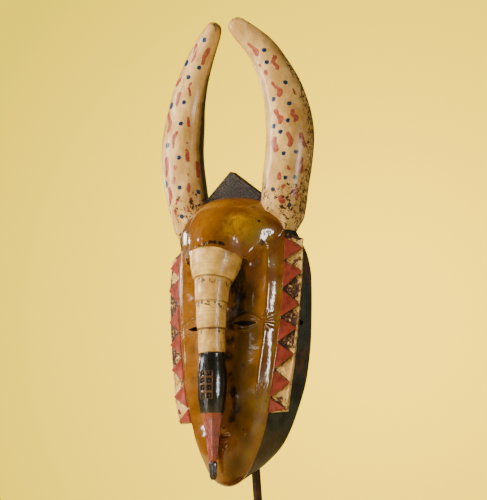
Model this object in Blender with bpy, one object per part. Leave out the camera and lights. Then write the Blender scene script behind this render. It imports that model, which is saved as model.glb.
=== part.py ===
"""Carved antelope mask resting on its display stand.

Blender 4.5, metres, +Z up. The face looks along -Y. The origin is the centre of
the base plate's underside, on the rod's axis. The mask is one carved solid: a
hollow head, a long beak, two horns, a crest and two side fringes.
"""
import math

import bmesh
import bpy
import numpy as np
from mathutils import Vector

# Stand
BASE_WIDTH = 0.150
BASE_THICKNESS = 0.010
BASE_BEVEL = 0.0015
SOCKET_DEPTH = 0.006
ROD_DIAMETER = 0.0088
ROD_BEND_RADIUS = 0.022
ROD_BEND_ANGLE = math.radians(50)
ROD_PRONG_LENGTH = 0.012
FIT_GAP = 0.0003

# Face and shell
CHIN_HEIGHT = 0.112
FACE_HEIGHT = 0.290
FACE_WIDTH = 0.124
RIM_WIDTH = 0.153
RIM_RISE = 0.0135
RIM_DROP = 0.007
FACE_TO_RIM = 0.0235
RIM_LEAN = 0.06
WALL = 0.009
CHIN_WALL = 0.022
CROWN_WALL = 0.036

# Eyes and holes
EYE_LENGTH = 0.038
EYE_HEIGHT = 0.019
EYE_SPACING = 0.054
EYE_RELIEF = 0.0018
SLIT_LENGTH = 0.025
SLIT_HEIGHT = 0.0058
TIE_HOLE_DIAMETER = 0.005
TIE_HOLE_GAP = 0.0078
TIE_HOLE_DROP = 0.0033

# Nose, beak
NOSE_HEIGHT = 0.009
NOSE_WIDTH = 0.016
BEAK_DIAMETER = 0.053

# Side fringes
FRINGE_WIDTH = 0.0183
FRINGE_THICKNESS = 0.009
FRINGE_STEP_BACK = 0.002
FRINGE_TILT_LOW = math.radians(14)
FRINGE_TILT_HIGH = math.radians(26)
FRINGE_TOP_SLOPE = 0.0075
LEFT_FRINGE_DROP = 0.004
TRIANGLE_RELIEF = 0.0024

# Crest and horns
CREST_WIDTH = 0.078
CREST_RISE = 0.027
CREST_SHOULDER_DROP = 0.0055
CREST_SINK = 0.0185
CREST_THICKNESS = 0.011
HORN_THICKNESS = 0.0505
HORN_FLATNESS = 0.89
HORN_TURN = math.radians(38)
HORN_RISE = 0.186
HORN_FOOT_FRONT = 0.014
HORN_FOOT_BACK = 0.003
HORN_FOOT_HEIGHT = 0.055
HORN_FOOT_SLOPE = 1.15
HORN_FOOT_LAYER = 0.0012

ROD_RADIUS = ROD_DIAMETER / 2
RIM_BOTTOM = CHIN_HEIGHT + RIM_RISE
RIM_HEIGHT = FACE_HEIGHT - RIM_RISE - RIM_DROP
RIM_Y = -(ROD_RADIUS + FIT_GAP) - RIM_LEAN * CHIN_WALL
FACE_Y = RIM_Y - FACE_TO_RIM
EYE_Z = CHIN_HEIGHT + 0.551 * FACE_HEIGHT
CROWN_Z = CHIN_HEIGHT + FACE_HEIGHT

# Half width of the face along its edge, 0 at the chin and 1 at the crown, as a share of the widest
FACE_OUTLINE = ((0, 0), (0.106, 0.274), (0.19, 0.445), (0.29, 0.66), (0.41, 0.825), (0.55, 0.95),
                (0.66, 0.997), (0.74, 0.99), (0.78, 0.945), (0.85, 0.705), (0.885, 0.60), (1, 0))
# Half width of the open back's rim, in the same way
RIM_OUTLINE = ((0, 0), (0.1, 0.205), (0.2, 0.49), (0.29, 0.687), (0.4, 0.882), (0.5, 0.965),
               (0.63, 1), (0.685, 0.963), (0.73, 0.883), (0.8, 0.74), (0.9, 0.43), (1, 0))
# How far the face's edge lies back from the face plane, by height, in shares of the face's height
EDGE_LEAN = ((0, -0.080), (0.1, -0.065), (0.2, -0.057), (0.3, -0.053), (0.4, -0.038), (0.5, -0.021),
             (0.6, -0.004), (0.7, 0.013), (0.8, 0.034), (0.86, 0.047), (0.92, 0.049), (0.966, 0.064),
             (1, 0.068))
# Reach of the cheeks and chin in front of the edge, along the edge, in shares of the face's height
CHEEK_REACH = ((0, 0), (0.05, 0.031), (0.1, 0.057), (0.17, 0.079), (0.225, 0.087), (0.265, 0.086),
               (0.31, 0.070), (0.37, 0.061), (0.54, 0.057), (0.655, 0.062), (0.758, 0.082))
# The same for the middle of the domed forehead, by height
DOME_REACH = ((0.755, 0.204), (0.806, 0.207), (0.832, 0.208), (0.87, 0.197), (0.93, 0.167), (0.97, 0.126),
              (0.9925, 0.074), (1, 0))
# Cross-sections, from the middle out to the edge, are (1 - out ** power) ** root: the cheeks and the
# hollow, the forehead just above the brows, and the forehead higher up
CHEEK_SECTION = (2.3, 0.65)
LIP_SECTION = (1.6, 1.0)
CROWN_SECTION = (2.2, 0.6)
LIP_HEIGHT = 0.80
LIP_OVER = 0.15
# Fall of the brow line below its outer end, from the middle out, in shares of the face's height
BROW_FALL = ((-0.2, 0.064), (0, 0.056), (0.2, 0.064), (0.35, 0.079), (0.45, 0.091), (0.54, 0.107),
             (0.62, 0.091), (0.7, 0.067), (0.8, 0.047), (0.9, 0.030), (1, 0))
# Depth of the hollow in front of its own side edges, by the same rule
HOLLOW_REACH = ((0, 0.03), (0.1, 0.06), (0.22, 0.06), (0.32, 0.05), (0.55, 0.046), (0.75, 0.055),
                (0.86, 0.1), (1, 0.085))
# Row of the brow line, and the step in rows over which the forehead comes forward above it
BROW_ROW = 0.758
BROW_LEDGE = 0.008
BROW_FALL_FROM = 0.35
BROW_FALL_FADE = 2.4
# Ridge that runs down each side of the face inside its edge: its place across, its height as a share of
# the cheek's, the roundness of its outer flank, and the rows over which it rises out of the rounded chin
RIDGE_AT = 0.81
RIDGE_SHARE = 0.8
RIDGE_FLANK = 1.4
RIDGE_FROM = 0.24
RIDGE_OVER = 0.2
# Rows over which the nose rises from the mouth and sinks towards the brow
NOSE_FROM = 0.275
NOSE_OVER = 0.02
NOSE_FADE_OVER = 0.4
NOSE_FADE = 0.6
# The hollow's side walls run on past the back plane by this many times their depth
HOLLOW_PAST = 1.6
# Share of a fringe's width that runs on inside the head
FRINGE_ROOT = 0.4
# Ends of the side fringes along the face's edge, and where the slope of their top end begins
FRINGE_FROM = 0.325
FRINGE_TO = 0.750
FRINGE_SLOPE_FROM = 0.716
# Apexes of the raised triangles along a fringe, where the last one ends, and the share of the room between
# two that a base takes
TRIANGLE_APEXES = (0.016, 0.159, 0.306, 0.44, 0.56, 0.74, 0.88)
TRIANGLE_END = 0.968
TRIANGLE_FILL = 0.96
# Axis of the beak from the forehead to the tip: depth from the face plane and height above the
# chin, in shares of the face's height
BEAK_AXIS = ((0, -0.010, 0.885), (0.08, -0.0665, 0.785), (0.19, -0.099, 0.703), (0.28, -0.1186, 0.628),
             (0.385, -0.1314, 0.538), (0.49, -0.1372, 0.45), (0.6, -0.148, 0.362), (0.735, -0.1638, 0.248),
             (1, -0.185, 0.0276))
# Radius along the beak as a share of the root's. Each short steep fall is one carved step.
BEAK_RADII = ((0, 0.85), (0.05, 0.98), (0.08, 1.0), (0.193, 0.765), (0.202, 0.705), (0.282, 0.62), (0.291, 0.595),
              (0.386, 0.555), (0.395, 0.53), (0.48, 0.525), (0.491, 0.50), (0.54, 0.535), (0.6, 0.57),
              (0.66, 0.55), (0.73, 0.455), (0.741, 0.43), (0.93, 0.20), (0.985, 0.175), (1.0, 0.10))
# Axis of a horn: out from the middle in half face widths, back from the face plane and up from the
# crown in shares of the horn's rise
HORN_AXIS = ((0, 0.73, 0.15, -0.28), (0.2, 0.91, 0.152, -0.011), (0.42, 1.035, 0.187, 0.305),
             (0.6, 0.95, 0.208, 0.52), (0.8, 0.66, 0.203, 0.77), (1, 0.15, 0.152, 0.985))
HORN_RADII = ((0, 0.88), (0.2, 0.96), (0.36, 1.0), (0.45, 0.995), (0.6, 0.89), (0.78, 0.69),
              (0.87, 0.585), (0.94, 0.485), (0.975, 0.405), (0.992, 0.31), (1.0, 0.16))

# Facets
FACE_ROWS = 27
DOME_ROWS = 14
FACE_COLUMNS = 33
WALL_STEPS = 3
HOLLOW_ROWS = 21
HOLLOW_COLUMNS = 13
BEAK_SIDES = 20
HORN_SIDES = 16
HORN_RINGS = 13
FRINGE_STEPS = 15
EYE_SIDES = 20
SLIT_SIDES = 16
HOLE_SIDES = 12
SOCKET_SIDES = 24


def smooth(at, stops):
    """Cubic curve through (place, value) stops that never overshoots a stop."""
    table = np.array(stops, dtype=float)
    place, value = table[:, 0], table[:, 1]
    step = np.diff(place)
    slope = np.diff(value) / step
    tangent = np.concatenate([slope[:1], np.zeros(len(step) - 1), slope[-1:]])
    same = slope[:-1] * slope[1:] > 0
    inner = np.flatnonzero(same) + 1
    tangent[inner] = 2 * slope[inner - 1] * slope[inner] / (slope[inner - 1] + slope[inner])
    at = np.clip(at, place[0], place[-1])
    i = np.clip(np.searchsorted(place, at, side="right") - 1, 0, len(step) - 1)
    f = (at - place[i]) / step[i]
    rise = value[i + 1] - value[i]
    return (value[i] + rise * f * f * (3 - 2 * f)
            + step[i] * f * (1 - f) * ((1 - f) * tangent[i] - f * tangent[i + 1]))


def ease(at):
    """Smooth step from 0 to 1."""
    at = np.clip(at, 0, 1)
    return at * at * (3 - 2 * at)


def along(stops, at):
    """Points (x, y, z) of a curve whose stops are (place, x, y, z)."""
    table = np.array(stops, dtype=float)
    return np.stack([smooth(at, table[:, [0, k]]) for k in range(1, table.shape[1])], axis=-1)


def height_share(t):
    """Share of the height reached at t, with even steps of t close together at both ends."""
    return (1 - np.cos(np.pi * t)) / 2


def section(out, shape):
    """Cross-section from 1 in the middle to 0 at the edge, fuller with a higher power or a lower root."""
    power, root = shape
    return (1 - out ** power) ** root


def face_edge(t):
    """Half width, depth and height of the face's edge at t."""
    share = height_share(t)
    x = FACE_WIDTH / 2 * smooth(t, FACE_OUTLINE)
    y = FACE_Y + FACE_HEIGHT * smooth(share, EDGE_LEAN)
    return x, y, CHIN_HEIGHT + FACE_HEIGHT * share


def rim_edge(t):
    """Half width, depth and height of the open back's rim at t."""
    share = height_share(t)
    z = RIM_BOTTOM + RIM_HEIGHT * share
    return RIM_WIDTH / 2 * smooth(t, RIM_OUTLINE), RIM_Y + RIM_LEAN * (z - RIM_BOTTOM), z


def face_front(u, t):
    """Front of the face at u across (-1 to 1) and t up: the edge, carried forward by cheeks or dome."""
    edge_x, edge_y, edge_z = face_edge(t)
    out = np.abs(u)
    below = ease((t - BROW_FALL_FROM) / (BROW_ROW - BROW_FALL_FROM))
    above = (np.maximum(1 - t, 0) / (1 - BROW_ROW)) ** BROW_FALL_FADE
    fall = smooth(out, BROW_FALL) * np.where(t < BROW_ROW, below, above)
    z = edge_z - FACE_HEIGHT * fall

    inside = RIDGE_SHARE + (1 - RIDGE_SHARE) * (1 - (np.minimum(out, RIDGE_AT) / RIDGE_AT) ** 2)
    ridged = np.where(out < RIDGE_AT, inside, RIDGE_SHARE * ((1 - out) / (1 - RIDGE_AT)) ** RIDGE_FLANK)
    rounded = section(out, CHEEK_SECTION)
    cheek = rounded + (ridged - rounded) * ease((t - RIDGE_FROM) / RIDGE_OVER)
    cheek_y = FACE_HEIGHT * smooth(t, CHEEK_REACH) * cheek
    nose = NOSE_HEIGHT * ease((t - NOSE_FROM) / NOSE_OVER)
    nose = nose * (1 - NOSE_FADE * ease((t - NOSE_FROM - NOSE_OVER) / NOSE_FADE_OVER))
    cheek_y = cheek_y + nose * np.exp(-(u * edge_x / (NOSE_WIDTH / 2)) ** 2)

    share = (z - CHIN_HEIGHT) / FACE_HEIGHT
    higher = ease((share - LIP_HEIGHT) / LIP_OVER)
    dome = section(out, LIP_SECTION) * (1 - higher) + section(out, CROWN_SECTION) * higher
    dome_y = FACE_HEIGHT * smooth(share, DOME_REACH) * dome

    forward = ease((t - BROW_ROW) / BROW_LEDGE)
    return u * edge_x, edge_y - (cheek_y + (dome_y - cheek_y) * forward), z


def hollow_front(u, t):
    """Inside of the face: a plain bowl, a wall's thickness inside the edge."""
    share = height_share(t)
    x = (FACE_WIDTH / 2 - WALL) * smooth(t, FACE_OUTLINE)
    z = CHIN_HEIGHT + CHIN_WALL + (FACE_HEIGHT - CHIN_WALL - CROWN_WALL) * share
    edge_y = FACE_Y + FACE_HEIGHT * smooth((z - CHIN_HEIGHT) / FACE_HEIGHT, EDGE_LEAN) + WALL
    bowl = FACE_HEIGHT * smooth(t, HOLLOW_REACH) * section(np.abs(u), CHEEK_SECTION)
    return u * x, edge_y - bowl, z


def hollow_rim(t):
    """Inner edge of the rim, a wall's thickness inside the outer one."""
    share = height_share(t)
    z = RIM_BOTTOM + CHIN_WALL + (RIM_HEIGHT - CHIN_WALL - CROWN_WALL + RIM_DROP) * share
    return (RIM_WIDTH / 2 - WALL) * smooth(t, RIM_OUTLINE), RIM_Y + RIM_LEAN * (z - RIM_BOTTOM), z


def link(obj):
    """Put an object into the scene."""
    bpy.context.scene.collection.objects.link(obj)
    return obj


def solid(name, verts, faces):
    """Closed mesh object from points and faces, doubles merged and faces turned outwards."""
    mesh = bpy.data.meshes.new(name)
    bm = bmesh.new()
    made = [bm.verts.new(v) for v in verts]
    for face in faces:
        bm.faces.new([made[i] for i in face])
    bmesh.ops.remove_doubles(bm, verts=bm.verts, dist=0.00002)
    bmesh.ops.dissolve_degenerate(bm, edges=bm.edges, dist=0.00001)
    bmesh.ops.triangulate(bm, faces=bm.faces)
    bmesh.ops.recalc_face_normals(bm, faces=bm.faces)
    bm.to_mesh(mesh)
    bm.free()
    return link(bpy.data.objects.new(name, mesh))


def loft(name, rings, caps):
    """Solid through closed rings of equal counts; caps fill the first and last ring."""
    rings = np.asarray(rings)
    count, size = rings.shape[:2]
    faces = []
    for r in range(count - 1):
        for k in range(size):
            n = (k + 1) % size
            faces.append((r * size + k, r * size + n, (r + 1) * size + n, (r + 1) * size + k))
    if caps:
        faces.append(tuple(range(size - 1, -1, -1)))
        faces.append(tuple((count - 1) * size + k for k in range(size)))
    return solid(name, rings.reshape(-1, 3).tolist(), faces)


def shell_rings(front, rim, rows, across, sides, reach):
    """Closed rings of a head: across the front, back along one wall to reach times its depth, and forward."""
    rings = []
    for t in rows:
        u = np.linspace(-1, 1, across)
        x, y, z = front(u, np.full(across, t))
        ring = list(zip(x, y, z))
        corner = Vector((x[-1], y[-1], z[-1]))
        rim_x, rim_y, rim_z = rim(t)
        back = Vector((rim_x, rim_y, rim_z))
        wall = [corner.lerp(back, reach * k / sides) for k in range(1, sides + 1)]
        ring += [tuple(p) for p in wall]
        ring += [(-p.x, p.y, p.z) for p in reversed(wall)]
        rings.append(ring)
    return rings


def sweep(path, radii, flatness, turn, sides):
    """Elliptic rings square to a path; turn is the long axis's angle from +X towards +Y."""
    tangent = np.gradient(path, axis=0)
    tangent /= np.linalg.norm(tangent, axis=1)[:, None]
    long_axis = np.array([math.cos(turn), math.sin(turn), 0.0])
    first = long_axis - tangent * (tangent @ long_axis)[:, None]
    first /= np.linalg.norm(first, axis=1)[:, None]
    second = np.cross(tangent, first)
    angle = np.linspace(0, 2 * np.pi, sides, endpoint=False)
    offset = (np.cos(angle)[None, :, None] * first[:, None] +
              flatness * np.sin(angle)[None, :, None] * second[:, None])
    return path[:, None] + np.asarray(radii)[:, None, None] * offset


def make_head():
    """Solid head, from the face to the back plane, with rows closest together at the brow."""
    lower = np.linspace(0, BROW_ROW, FACE_ROWS)
    upper = np.linspace(BROW_ROW + BROW_LEDGE, 1, DOME_ROWS)
    rings = shell_rings(face_front, rim_edge, np.concatenate([lower, upper]), FACE_COLUMNS, WALL_STEPS, 1)
    return loft("head", rings, False)


def make_hollow():
    """The wearer's space, running out past the back plane."""
    rows = np.linspace(0, 1, HOLLOW_ROWS)
    rings = shell_rings(hollow_front, hollow_rim, rows, HOLLOW_COLUMNS, 1, HOLLOW_PAST)
    return loft("hollow", rings, False)


def make_beak():
    """Round beak that narrows in steps, each step with a small ledge."""
    places = np.array([stop[0] for stop in BEAK_RADII])
    radii = np.array([stop[1] for stop in BEAK_RADII]) * BEAK_DIAMETER / 2
    shares = along(BEAK_AXIS, places)
    depth = FACE_Y + FACE_HEIGHT * shares[:, 0]
    path = np.stack([np.zeros(len(places)), depth, CHIN_HEIGHT + FACE_HEIGHT * shares[:, 1]], axis=-1)
    return loft("beak", sweep(path, radii, 1, 0, BEAK_SIDES), True)


def make_horn(side):
    """One horn, swept up, out and back in, from a sloping cut beside the forehead."""
    places = np.concatenate([np.linspace(0, 0.9, HORN_RINGS), [0.94, 0.97, 0.988, 1.0]])
    shares = along(HORN_AXIS, places)
    path = np.stack([shares[:, 0] * FACE_WIDTH / 2, FACE_Y + HORN_RISE * shares[:, 1],
                     CROWN_Z + HORN_RISE * shares[:, 2]], axis=-1)
    radii = smooth(places, HORN_RADII) * HORN_THICKNESS / 2
    rings = sweep(path, radii, HORN_FLATNESS, HORN_TURN, HORN_SIDES)
    foot_x, _, foot_z = face_edge(BROW_ROW)
    floor = foot_z + (rings[:4, :, 0] - foot_x) * HORN_FOOT_SLOPE
    rings[:4, :, 2] = np.maximum(rings[:4, :, 2], floor + np.arange(4)[:, None] * HORN_FOOT_LAYER)
    slack = HORN_THICKNESS * np.clip((rings[:, :, 2] - foot_z) / HORN_FOOT_HEIGHT, 0, 1) ** 2
    back = RIM_Y + RIM_LEAN * (rings[:, :, 2] - RIM_BOTTOM) + HORN_FOOT_BACK
    rings[:, :, 1] = np.clip(rings[:, :, 1], FACE_Y + HORN_FOOT_FRONT - slack, back + slack)
    rings[:, :, 0] *= side
    return loft("horn", rings, True)


def make_crest():
    """Gabled plate that stands up behind the forehead between the horns."""
    front = face_edge(1.0)[1]
    half = CREST_WIDTH / 2
    foot = CROWN_Z - CREST_SINK
    shoulder = CROWN_Z - CREST_SHOULDER_DROP
    outline = ((-half, foot), (half, foot), (half, shoulder), (0, CROWN_Z + CREST_RISE), (-half, shoulder))
    rings = [[(x, y, z) for x, z in outline] for y in (front, front + CREST_THICKNESS)]
    return loft("crest", rings, True)


def fringe_frame(side, t):
    """Inner and outer edge of a fringe's recessed face, and its outward normal, at t."""
    x, y, z = face_edge(t)
    if side < 0:
        z = z - LEFT_FRINGE_DROP
    share = (t - FRINGE_FROM) / (FRINGE_TO - FRINGE_FROM)
    tilt = FRINGE_TILT_LOW + (FRINGE_TILT_HIGH - FRINGE_TILT_LOW) * share
    across = Vector((side * math.cos(tilt), math.sin(tilt), 0))
    normal = Vector((side * math.sin(tilt), -math.cos(tilt), 0))
    inner = Vector((side * x, y, z)) - normal * FRINGE_STEP_BACK
    outer = inner + across * FRINGE_WIDTH
    outer.z -= FRINGE_TOP_SLOPE * ease((t - FRINGE_SLOPE_FROM) / (FRINGE_TO - FRINGE_SLOPE_FROM))
    return inner, outer, normal


def make_fringe(side):
    """Flange beside the face."""
    rings = []
    for t in np.linspace(FRINGE_FROM, FRINGE_TO, FRINGE_STEPS):
        inner, outer, normal = fringe_frame(side, t)
        root = inner + (inner - outer) * FRINGE_ROOT
        rings.append([root, outer, outer - normal * FRINGE_THICKNESS, root - normal * FRINGE_THICKNESS])
    return loft("fringe", [[tuple(p) for p in ring] for ring in rings], True)


def make_triangles(side):
    """Raised triangles on a fringe, base at the face and apex at the outer edge."""
    verts, faces = [], []
    length = FRINGE_TO - FRINGE_FROM
    ends = [0.0] + [(a + b) / 2 for a, b in zip(TRIANGLE_APEXES, TRIANGLE_APEXES[1:])] + [TRIANGLE_END]
    for tip, below, above in zip(TRIANGLE_APEXES, ends, ends[1:]):
        low = tip + (below - tip) * TRIANGLE_FILL
        high = tip + (above - tip) * TRIANGLE_FILL
        base_low, _, normal = fringe_frame(side, FRINGE_FROM + length * low)
        base_high = fringe_frame(side, FRINGE_FROM + length * high)[0]
        apex = fringe_frame(side, FRINGE_FROM + length * tip)[1]
        first = len(verts)
        for lift in (-0.5, 1.0):
            verts += [tuple(p + normal * lift * TRIANGLE_RELIEF) for p in (base_low, base_high, apex)]
        faces += [tuple(first + k for k in face)
                  for face in ((0, 1, 2), (3, 5, 4), (0, 3, 4, 1), (1, 4, 5, 2), (2, 5, 3, 0))]
    return solid("triangles", verts, faces)


def almond(name, centre, length, height, front, back, sides):
    """Upright almond outline, drawn as two arcs, pushed from front to back along the depth."""
    turn = np.linspace(0, 2 * np.pi, sides, endpoint=False)
    across = np.cos(turn) * length / 2
    rise = np.sign(np.sin(turn)) * (1 - np.cos(turn) ** 2) * height / 2
    rings = [[(centre[0] + a, y + slope * a, centre[1] + r) for a, r in zip(across, rise)]
             for y, slope in (front, back)]
    return loft(name, rings, True)


def cheek_plane(x, z):
    """Depth and slope of the face's front near x at height z, read off the surface itself."""
    rows = np.linspace(0.3, 0.7, 401)
    span = np.array([x - EYE_LENGTH / 4, x, x + EYE_LENGTH / 4])
    depth = []
    for place in span:
        u = place / face_edge(rows)[0]
        _, y, height = face_front(u, rows)
        depth.append(np.interp(z, height, y))
    return depth[1], (depth[2] - depth[0]) / (span[2] - span[0])


def make_eye(side):
    """Raised almond round one eye."""
    y, slope = cheek_plane(EYE_SPACING / 2, EYE_Z)
    slope *= side
    return almond("eye", (side * EYE_SPACING / 2, EYE_Z), EYE_LENGTH, EYE_HEIGHT,
                  (y - EYE_RELIEF, slope), (y + WALL / 2, slope), EYE_SIDES)


def make_slit(side):
    """Cutter for the slit that the wearer looks through."""
    centre = side * EYE_SPACING / 2
    y = cheek_plane(EYE_SPACING / 2, EYE_Z)[0]
    front = (y - 2 * WALL, 0)
    back = (y + 4 * WALL, 0)
    return almond("slit", (centre, EYE_Z), SLIT_LENGTH, SLIT_HEIGHT, front, back, SLIT_SIDES)


def make_tie_hole():
    """Cutter for the two tie holes, one straight bore through both side walls behind the fringes."""
    _, outer, normal = fringe_frame(1, (FRINGE_FROM + FRINGE_TO) / 2)
    y = outer.y - normal.y * (FRINGE_THICKNESS + TIE_HOLE_GAP)
    angle = np.linspace(0, 2 * np.pi, HOLE_SIDES, endpoint=False)
    z = EYE_Z - TIE_HOLE_DROP
    rings = [[(x, y + TIE_HOLE_DIAMETER / 2 * math.cos(a), z + TIE_HOLE_DIAMETER / 2 * math.sin(a))
              for a in angle] for x in (-RIM_WIDTH, RIM_WIDTH)]
    return loft("tie_hole", rings, True)


def combine(body, others, operation):
    """Join the others to the body, or cut them from it, and hide them."""
    for other in others:
        other.hide_render = True
        other.display_type = "WIRE"
        modifier = body.modifiers.new(other.name, "BOOLEAN")
        modifier.object = other
        modifier.operation = operation
        modifier.solver = "EXACT"


def make_mask():
    """The whole carved mask, one solid."""
    mask = make_head()
    mask.name = "mask"
    sides = (1, -1)
    added = [make_beak(), make_crest()]
    added += [make(side) for make in (make_horn, make_fringe, make_triangles, make_eye) for side in sides]
    combine(mask, added, "UNION")
    combine(mask, [make_hollow()] + [make_slit(side) for side in sides] + [make_tie_hole()], "DIFFERENCE")
    return mask


def make_rod():
    """Rod from the base's socket up through the hollow, bent forward under the forehead."""
    half_width, _, height = hollow_front(1.0, np.linspace(0, 1, HOLLOW_ROWS)[-5:])
    top = np.interp(ROD_RADIUS, half_width[::-1], height[::-1]) - FIT_GAP
    bend = np.linspace(0, ROD_BEND_ANGLE, 7)
    forward = Vector((0, -math.sin(ROD_BEND_ANGLE), math.cos(ROD_BEND_ANGLE)))
    rise = ROD_BEND_RADIUS * math.sin(ROD_BEND_ANGLE) + ROD_PRONG_LENGTH * forward.z
    start = top - rise - ROD_RADIUS * math.sin(ROD_BEND_ANGLE)
    foot = BASE_THICKNESS - SOCKET_DEPTH + FIT_GAP
    points = [(0, 0, foot)]
    points += [(0, -ROD_BEND_RADIUS * (1 - math.cos(a)), start + ROD_BEND_RADIUS * math.sin(a)) for a in bend]
    points.append(tuple(Vector(points[-1]) + forward * ROD_PRONG_LENGTH))
    curve = bpy.data.curves.new("stand_rod", "CURVE")
    curve.dimensions = "3D"
    curve.bevel_depth = ROD_RADIUS
    curve.bevel_resolution = 3
    curve.use_fill_caps = True
    spline = curve.splines.new("POLY")
    spline.points.add(len(points) - 1)
    for point, place in zip(spline.points, points):
        point.co = (*place, 1)
    return link(bpy.data.objects.new("stand_rod", curve))


def make_base():
    """Square plate with softened edges and a blind socket for the rod."""
    mesh = bpy.data.meshes.new("stand_base")
    bm = bmesh.new()
    bmesh.ops.create_cube(bm, size=1)
    bmesh.ops.scale(bm, vec=(BASE_WIDTH, BASE_WIDTH, BASE_THICKNESS), verts=bm.verts)
    bmesh.ops.translate(bm, vec=(0, 0, BASE_THICKNESS / 2), verts=bm.verts)
    bm.to_mesh(mesh)
    bm.free()
    base = link(bpy.data.objects.new("stand_base", mesh))
    bevel = base.modifiers.new("edges", "BEVEL")
    bevel.width = BASE_BEVEL
    bevel.segments = 2
    angle = np.linspace(0, 2 * np.pi, SOCKET_SIDES, endpoint=False)
    radius = ROD_RADIUS + FIT_GAP
    rings = [[(radius * math.cos(a), radius * math.sin(a), z) for a in angle]
             for z in (BASE_THICKNESS - SOCKET_DEPTH, BASE_THICKNESS * 2)]
    combine(base, [loft("socket", rings, True)], "DIFFERENCE")
    return base


def paint(obj, name, colour, roughness, metallic):
    """Give an object its own Principled material."""
    material = bpy.data.materials.new(name)
    material.use_nodes = True
    shader = material.node_tree.nodes["Principled BSDF"]
    shader.inputs["Base Color"].default_value = (*colour, 1)
    shader.inputs["Roughness"].default_value = roughness
    shader.inputs["Metallic"].default_value = metallic
    obj.data.materials.append(material)


def main():
    for old in list(bpy.data.objects):
        bpy.data.objects.remove(old)
    mask = make_mask()
    mask.data.shade_smooth()
    mask.data.set_sharp_from_angle(angle=math.radians(32))
    paint(mask, "painted_wood", (0.45, 0.22, 0.03), 0.35, 0.0)
    rod = make_rod()
    paint(rod, "blackened_rod", (0.03, 0.025, 0.022), 0.45, 0.9)
    base = make_base()
    paint(base, "blackened_plate", (0.03, 0.03, 0.032), 0.5, 0.9)


main()
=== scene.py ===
"""Looks of the carved antelope mask on its display stand.

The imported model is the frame: the mask's solid is replaced by one finely carved piece of the same
form, the rod and the base plate keep their solids and get their finish. Metres, +Z up, the face
looks along -Y. The head is a surface of two parameters: u runs across from -1 to 1, t runs up from
0 at the chin to 1 at the crown.
"""
import math

import bmesh
import bpy
import numpy as np
from bpy.props import FloatProperty, FloatVectorProperty, PointerProperty
from mathutils import Matrix, Vector
from mathutils.bvhtree import BVHTree


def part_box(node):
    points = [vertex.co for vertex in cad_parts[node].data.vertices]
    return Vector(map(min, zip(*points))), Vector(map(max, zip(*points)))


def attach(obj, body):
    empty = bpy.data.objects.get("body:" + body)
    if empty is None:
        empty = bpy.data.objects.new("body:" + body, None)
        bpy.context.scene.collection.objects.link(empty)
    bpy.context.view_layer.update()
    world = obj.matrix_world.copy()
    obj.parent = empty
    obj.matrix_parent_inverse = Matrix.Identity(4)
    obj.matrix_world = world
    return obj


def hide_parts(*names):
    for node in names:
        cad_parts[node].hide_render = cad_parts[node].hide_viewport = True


bl_info = {
    "name": "Antelope mask on its stand",
    "version": (1, 0, 0),
    "blender": (4, 5, 0),
    "location": "3D View > Sidebar > Mask",
    "description": "Carved and painted antelope mask, its stand's finish and the studio",
    "category": "Object",
}

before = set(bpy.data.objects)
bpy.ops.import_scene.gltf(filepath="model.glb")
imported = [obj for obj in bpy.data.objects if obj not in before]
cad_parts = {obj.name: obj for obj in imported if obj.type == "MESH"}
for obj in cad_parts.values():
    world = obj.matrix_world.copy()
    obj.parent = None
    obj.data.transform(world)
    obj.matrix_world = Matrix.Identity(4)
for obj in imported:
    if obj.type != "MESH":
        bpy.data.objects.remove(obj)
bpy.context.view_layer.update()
MASK_LOW, MASK_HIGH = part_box("mask")
BASE_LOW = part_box("stand_base")[0]
ROD_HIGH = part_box("stand_rod")[1]

# Sizes that the solids share
CHIN_HEIGHT = MASK_LOW.z
FACE_HEIGHT = 0.290
FACE_WIDTH = 0.124
RIM_WIDTH = 0.153
RIM_RISE = 0.0135
RIM_DROP = 0.007
FACE_TO_RIM = 0.0235
RIM_LEAN = 0.06
WALL = 0.009
CHIN_WALL = 0.022
CROWN_WALL = 0.036
ROD_RADIUS = ROD_HIGH.x
FIT_GAP = 0.0003
EYE_LENGTH = 0.038
EYE_HEIGHT = 0.019
EYE_SPACING = 0.054
SLIT_LENGTH = 0.025
SLIT_HEIGHT = 0.0058
TIE_HOLE_RADIUS = 0.0025
TIE_HOLE_GAP = 0.0078
TIE_HOLE_DROP = 0.0033
NOSE_HEIGHT = 0.009
NOSE_WIDTH = 0.016
BEAK_DIAMETER = 0.053
FRINGE_WIDTH = 0.0183
FRINGE_THICKNESS = 0.009
FRINGE_STEP_BACK = 0.002
FRINGE_TILT_LOW = math.radians(14)
FRINGE_TILT_HIGH = math.radians(26)
FRINGE_TOP_SLOPE = 0.0075
FRINGE_ROOT = 0.4
LEFT_FRINGE_DROP = 0.004
TRIANGLE_RELIEF = 0.0024
CREST_WIDTH = 0.078
CREST_RISE = 0.027
CREST_SHOULDER_DROP = 0.0055
CREST_SINK = 0.0185
CREST_THICKNESS = 0.011
HORN_THICKNESS = 0.0505
HORN_FLATNESS = 0.89
HORN_TURN = math.radians(38)
HORN_RISE = 0.186
HORN_FOOT_FRONT = 0.014
HORN_FOOT_BACK = 0.003
HORN_FOOT_HEIGHT = 0.055
HORN_FOOT_SLOPE = 1.15
HORN_FOOT_LAYER = 0.0012

RIM_BOTTOM = CHIN_HEIGHT + RIM_RISE
RIM_HEIGHT = FACE_HEIGHT - RIM_RISE - RIM_DROP
RIM_Y = -(ROD_RADIUS + FIT_GAP) - RIM_LEAN * CHIN_WALL
FACE_Y = RIM_Y - FACE_TO_RIM
EYE_Z = CHIN_HEIGHT + 0.551 * FACE_HEIGHT
CROWN_Z = CHIN_HEIGHT + FACE_HEIGHT

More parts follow.
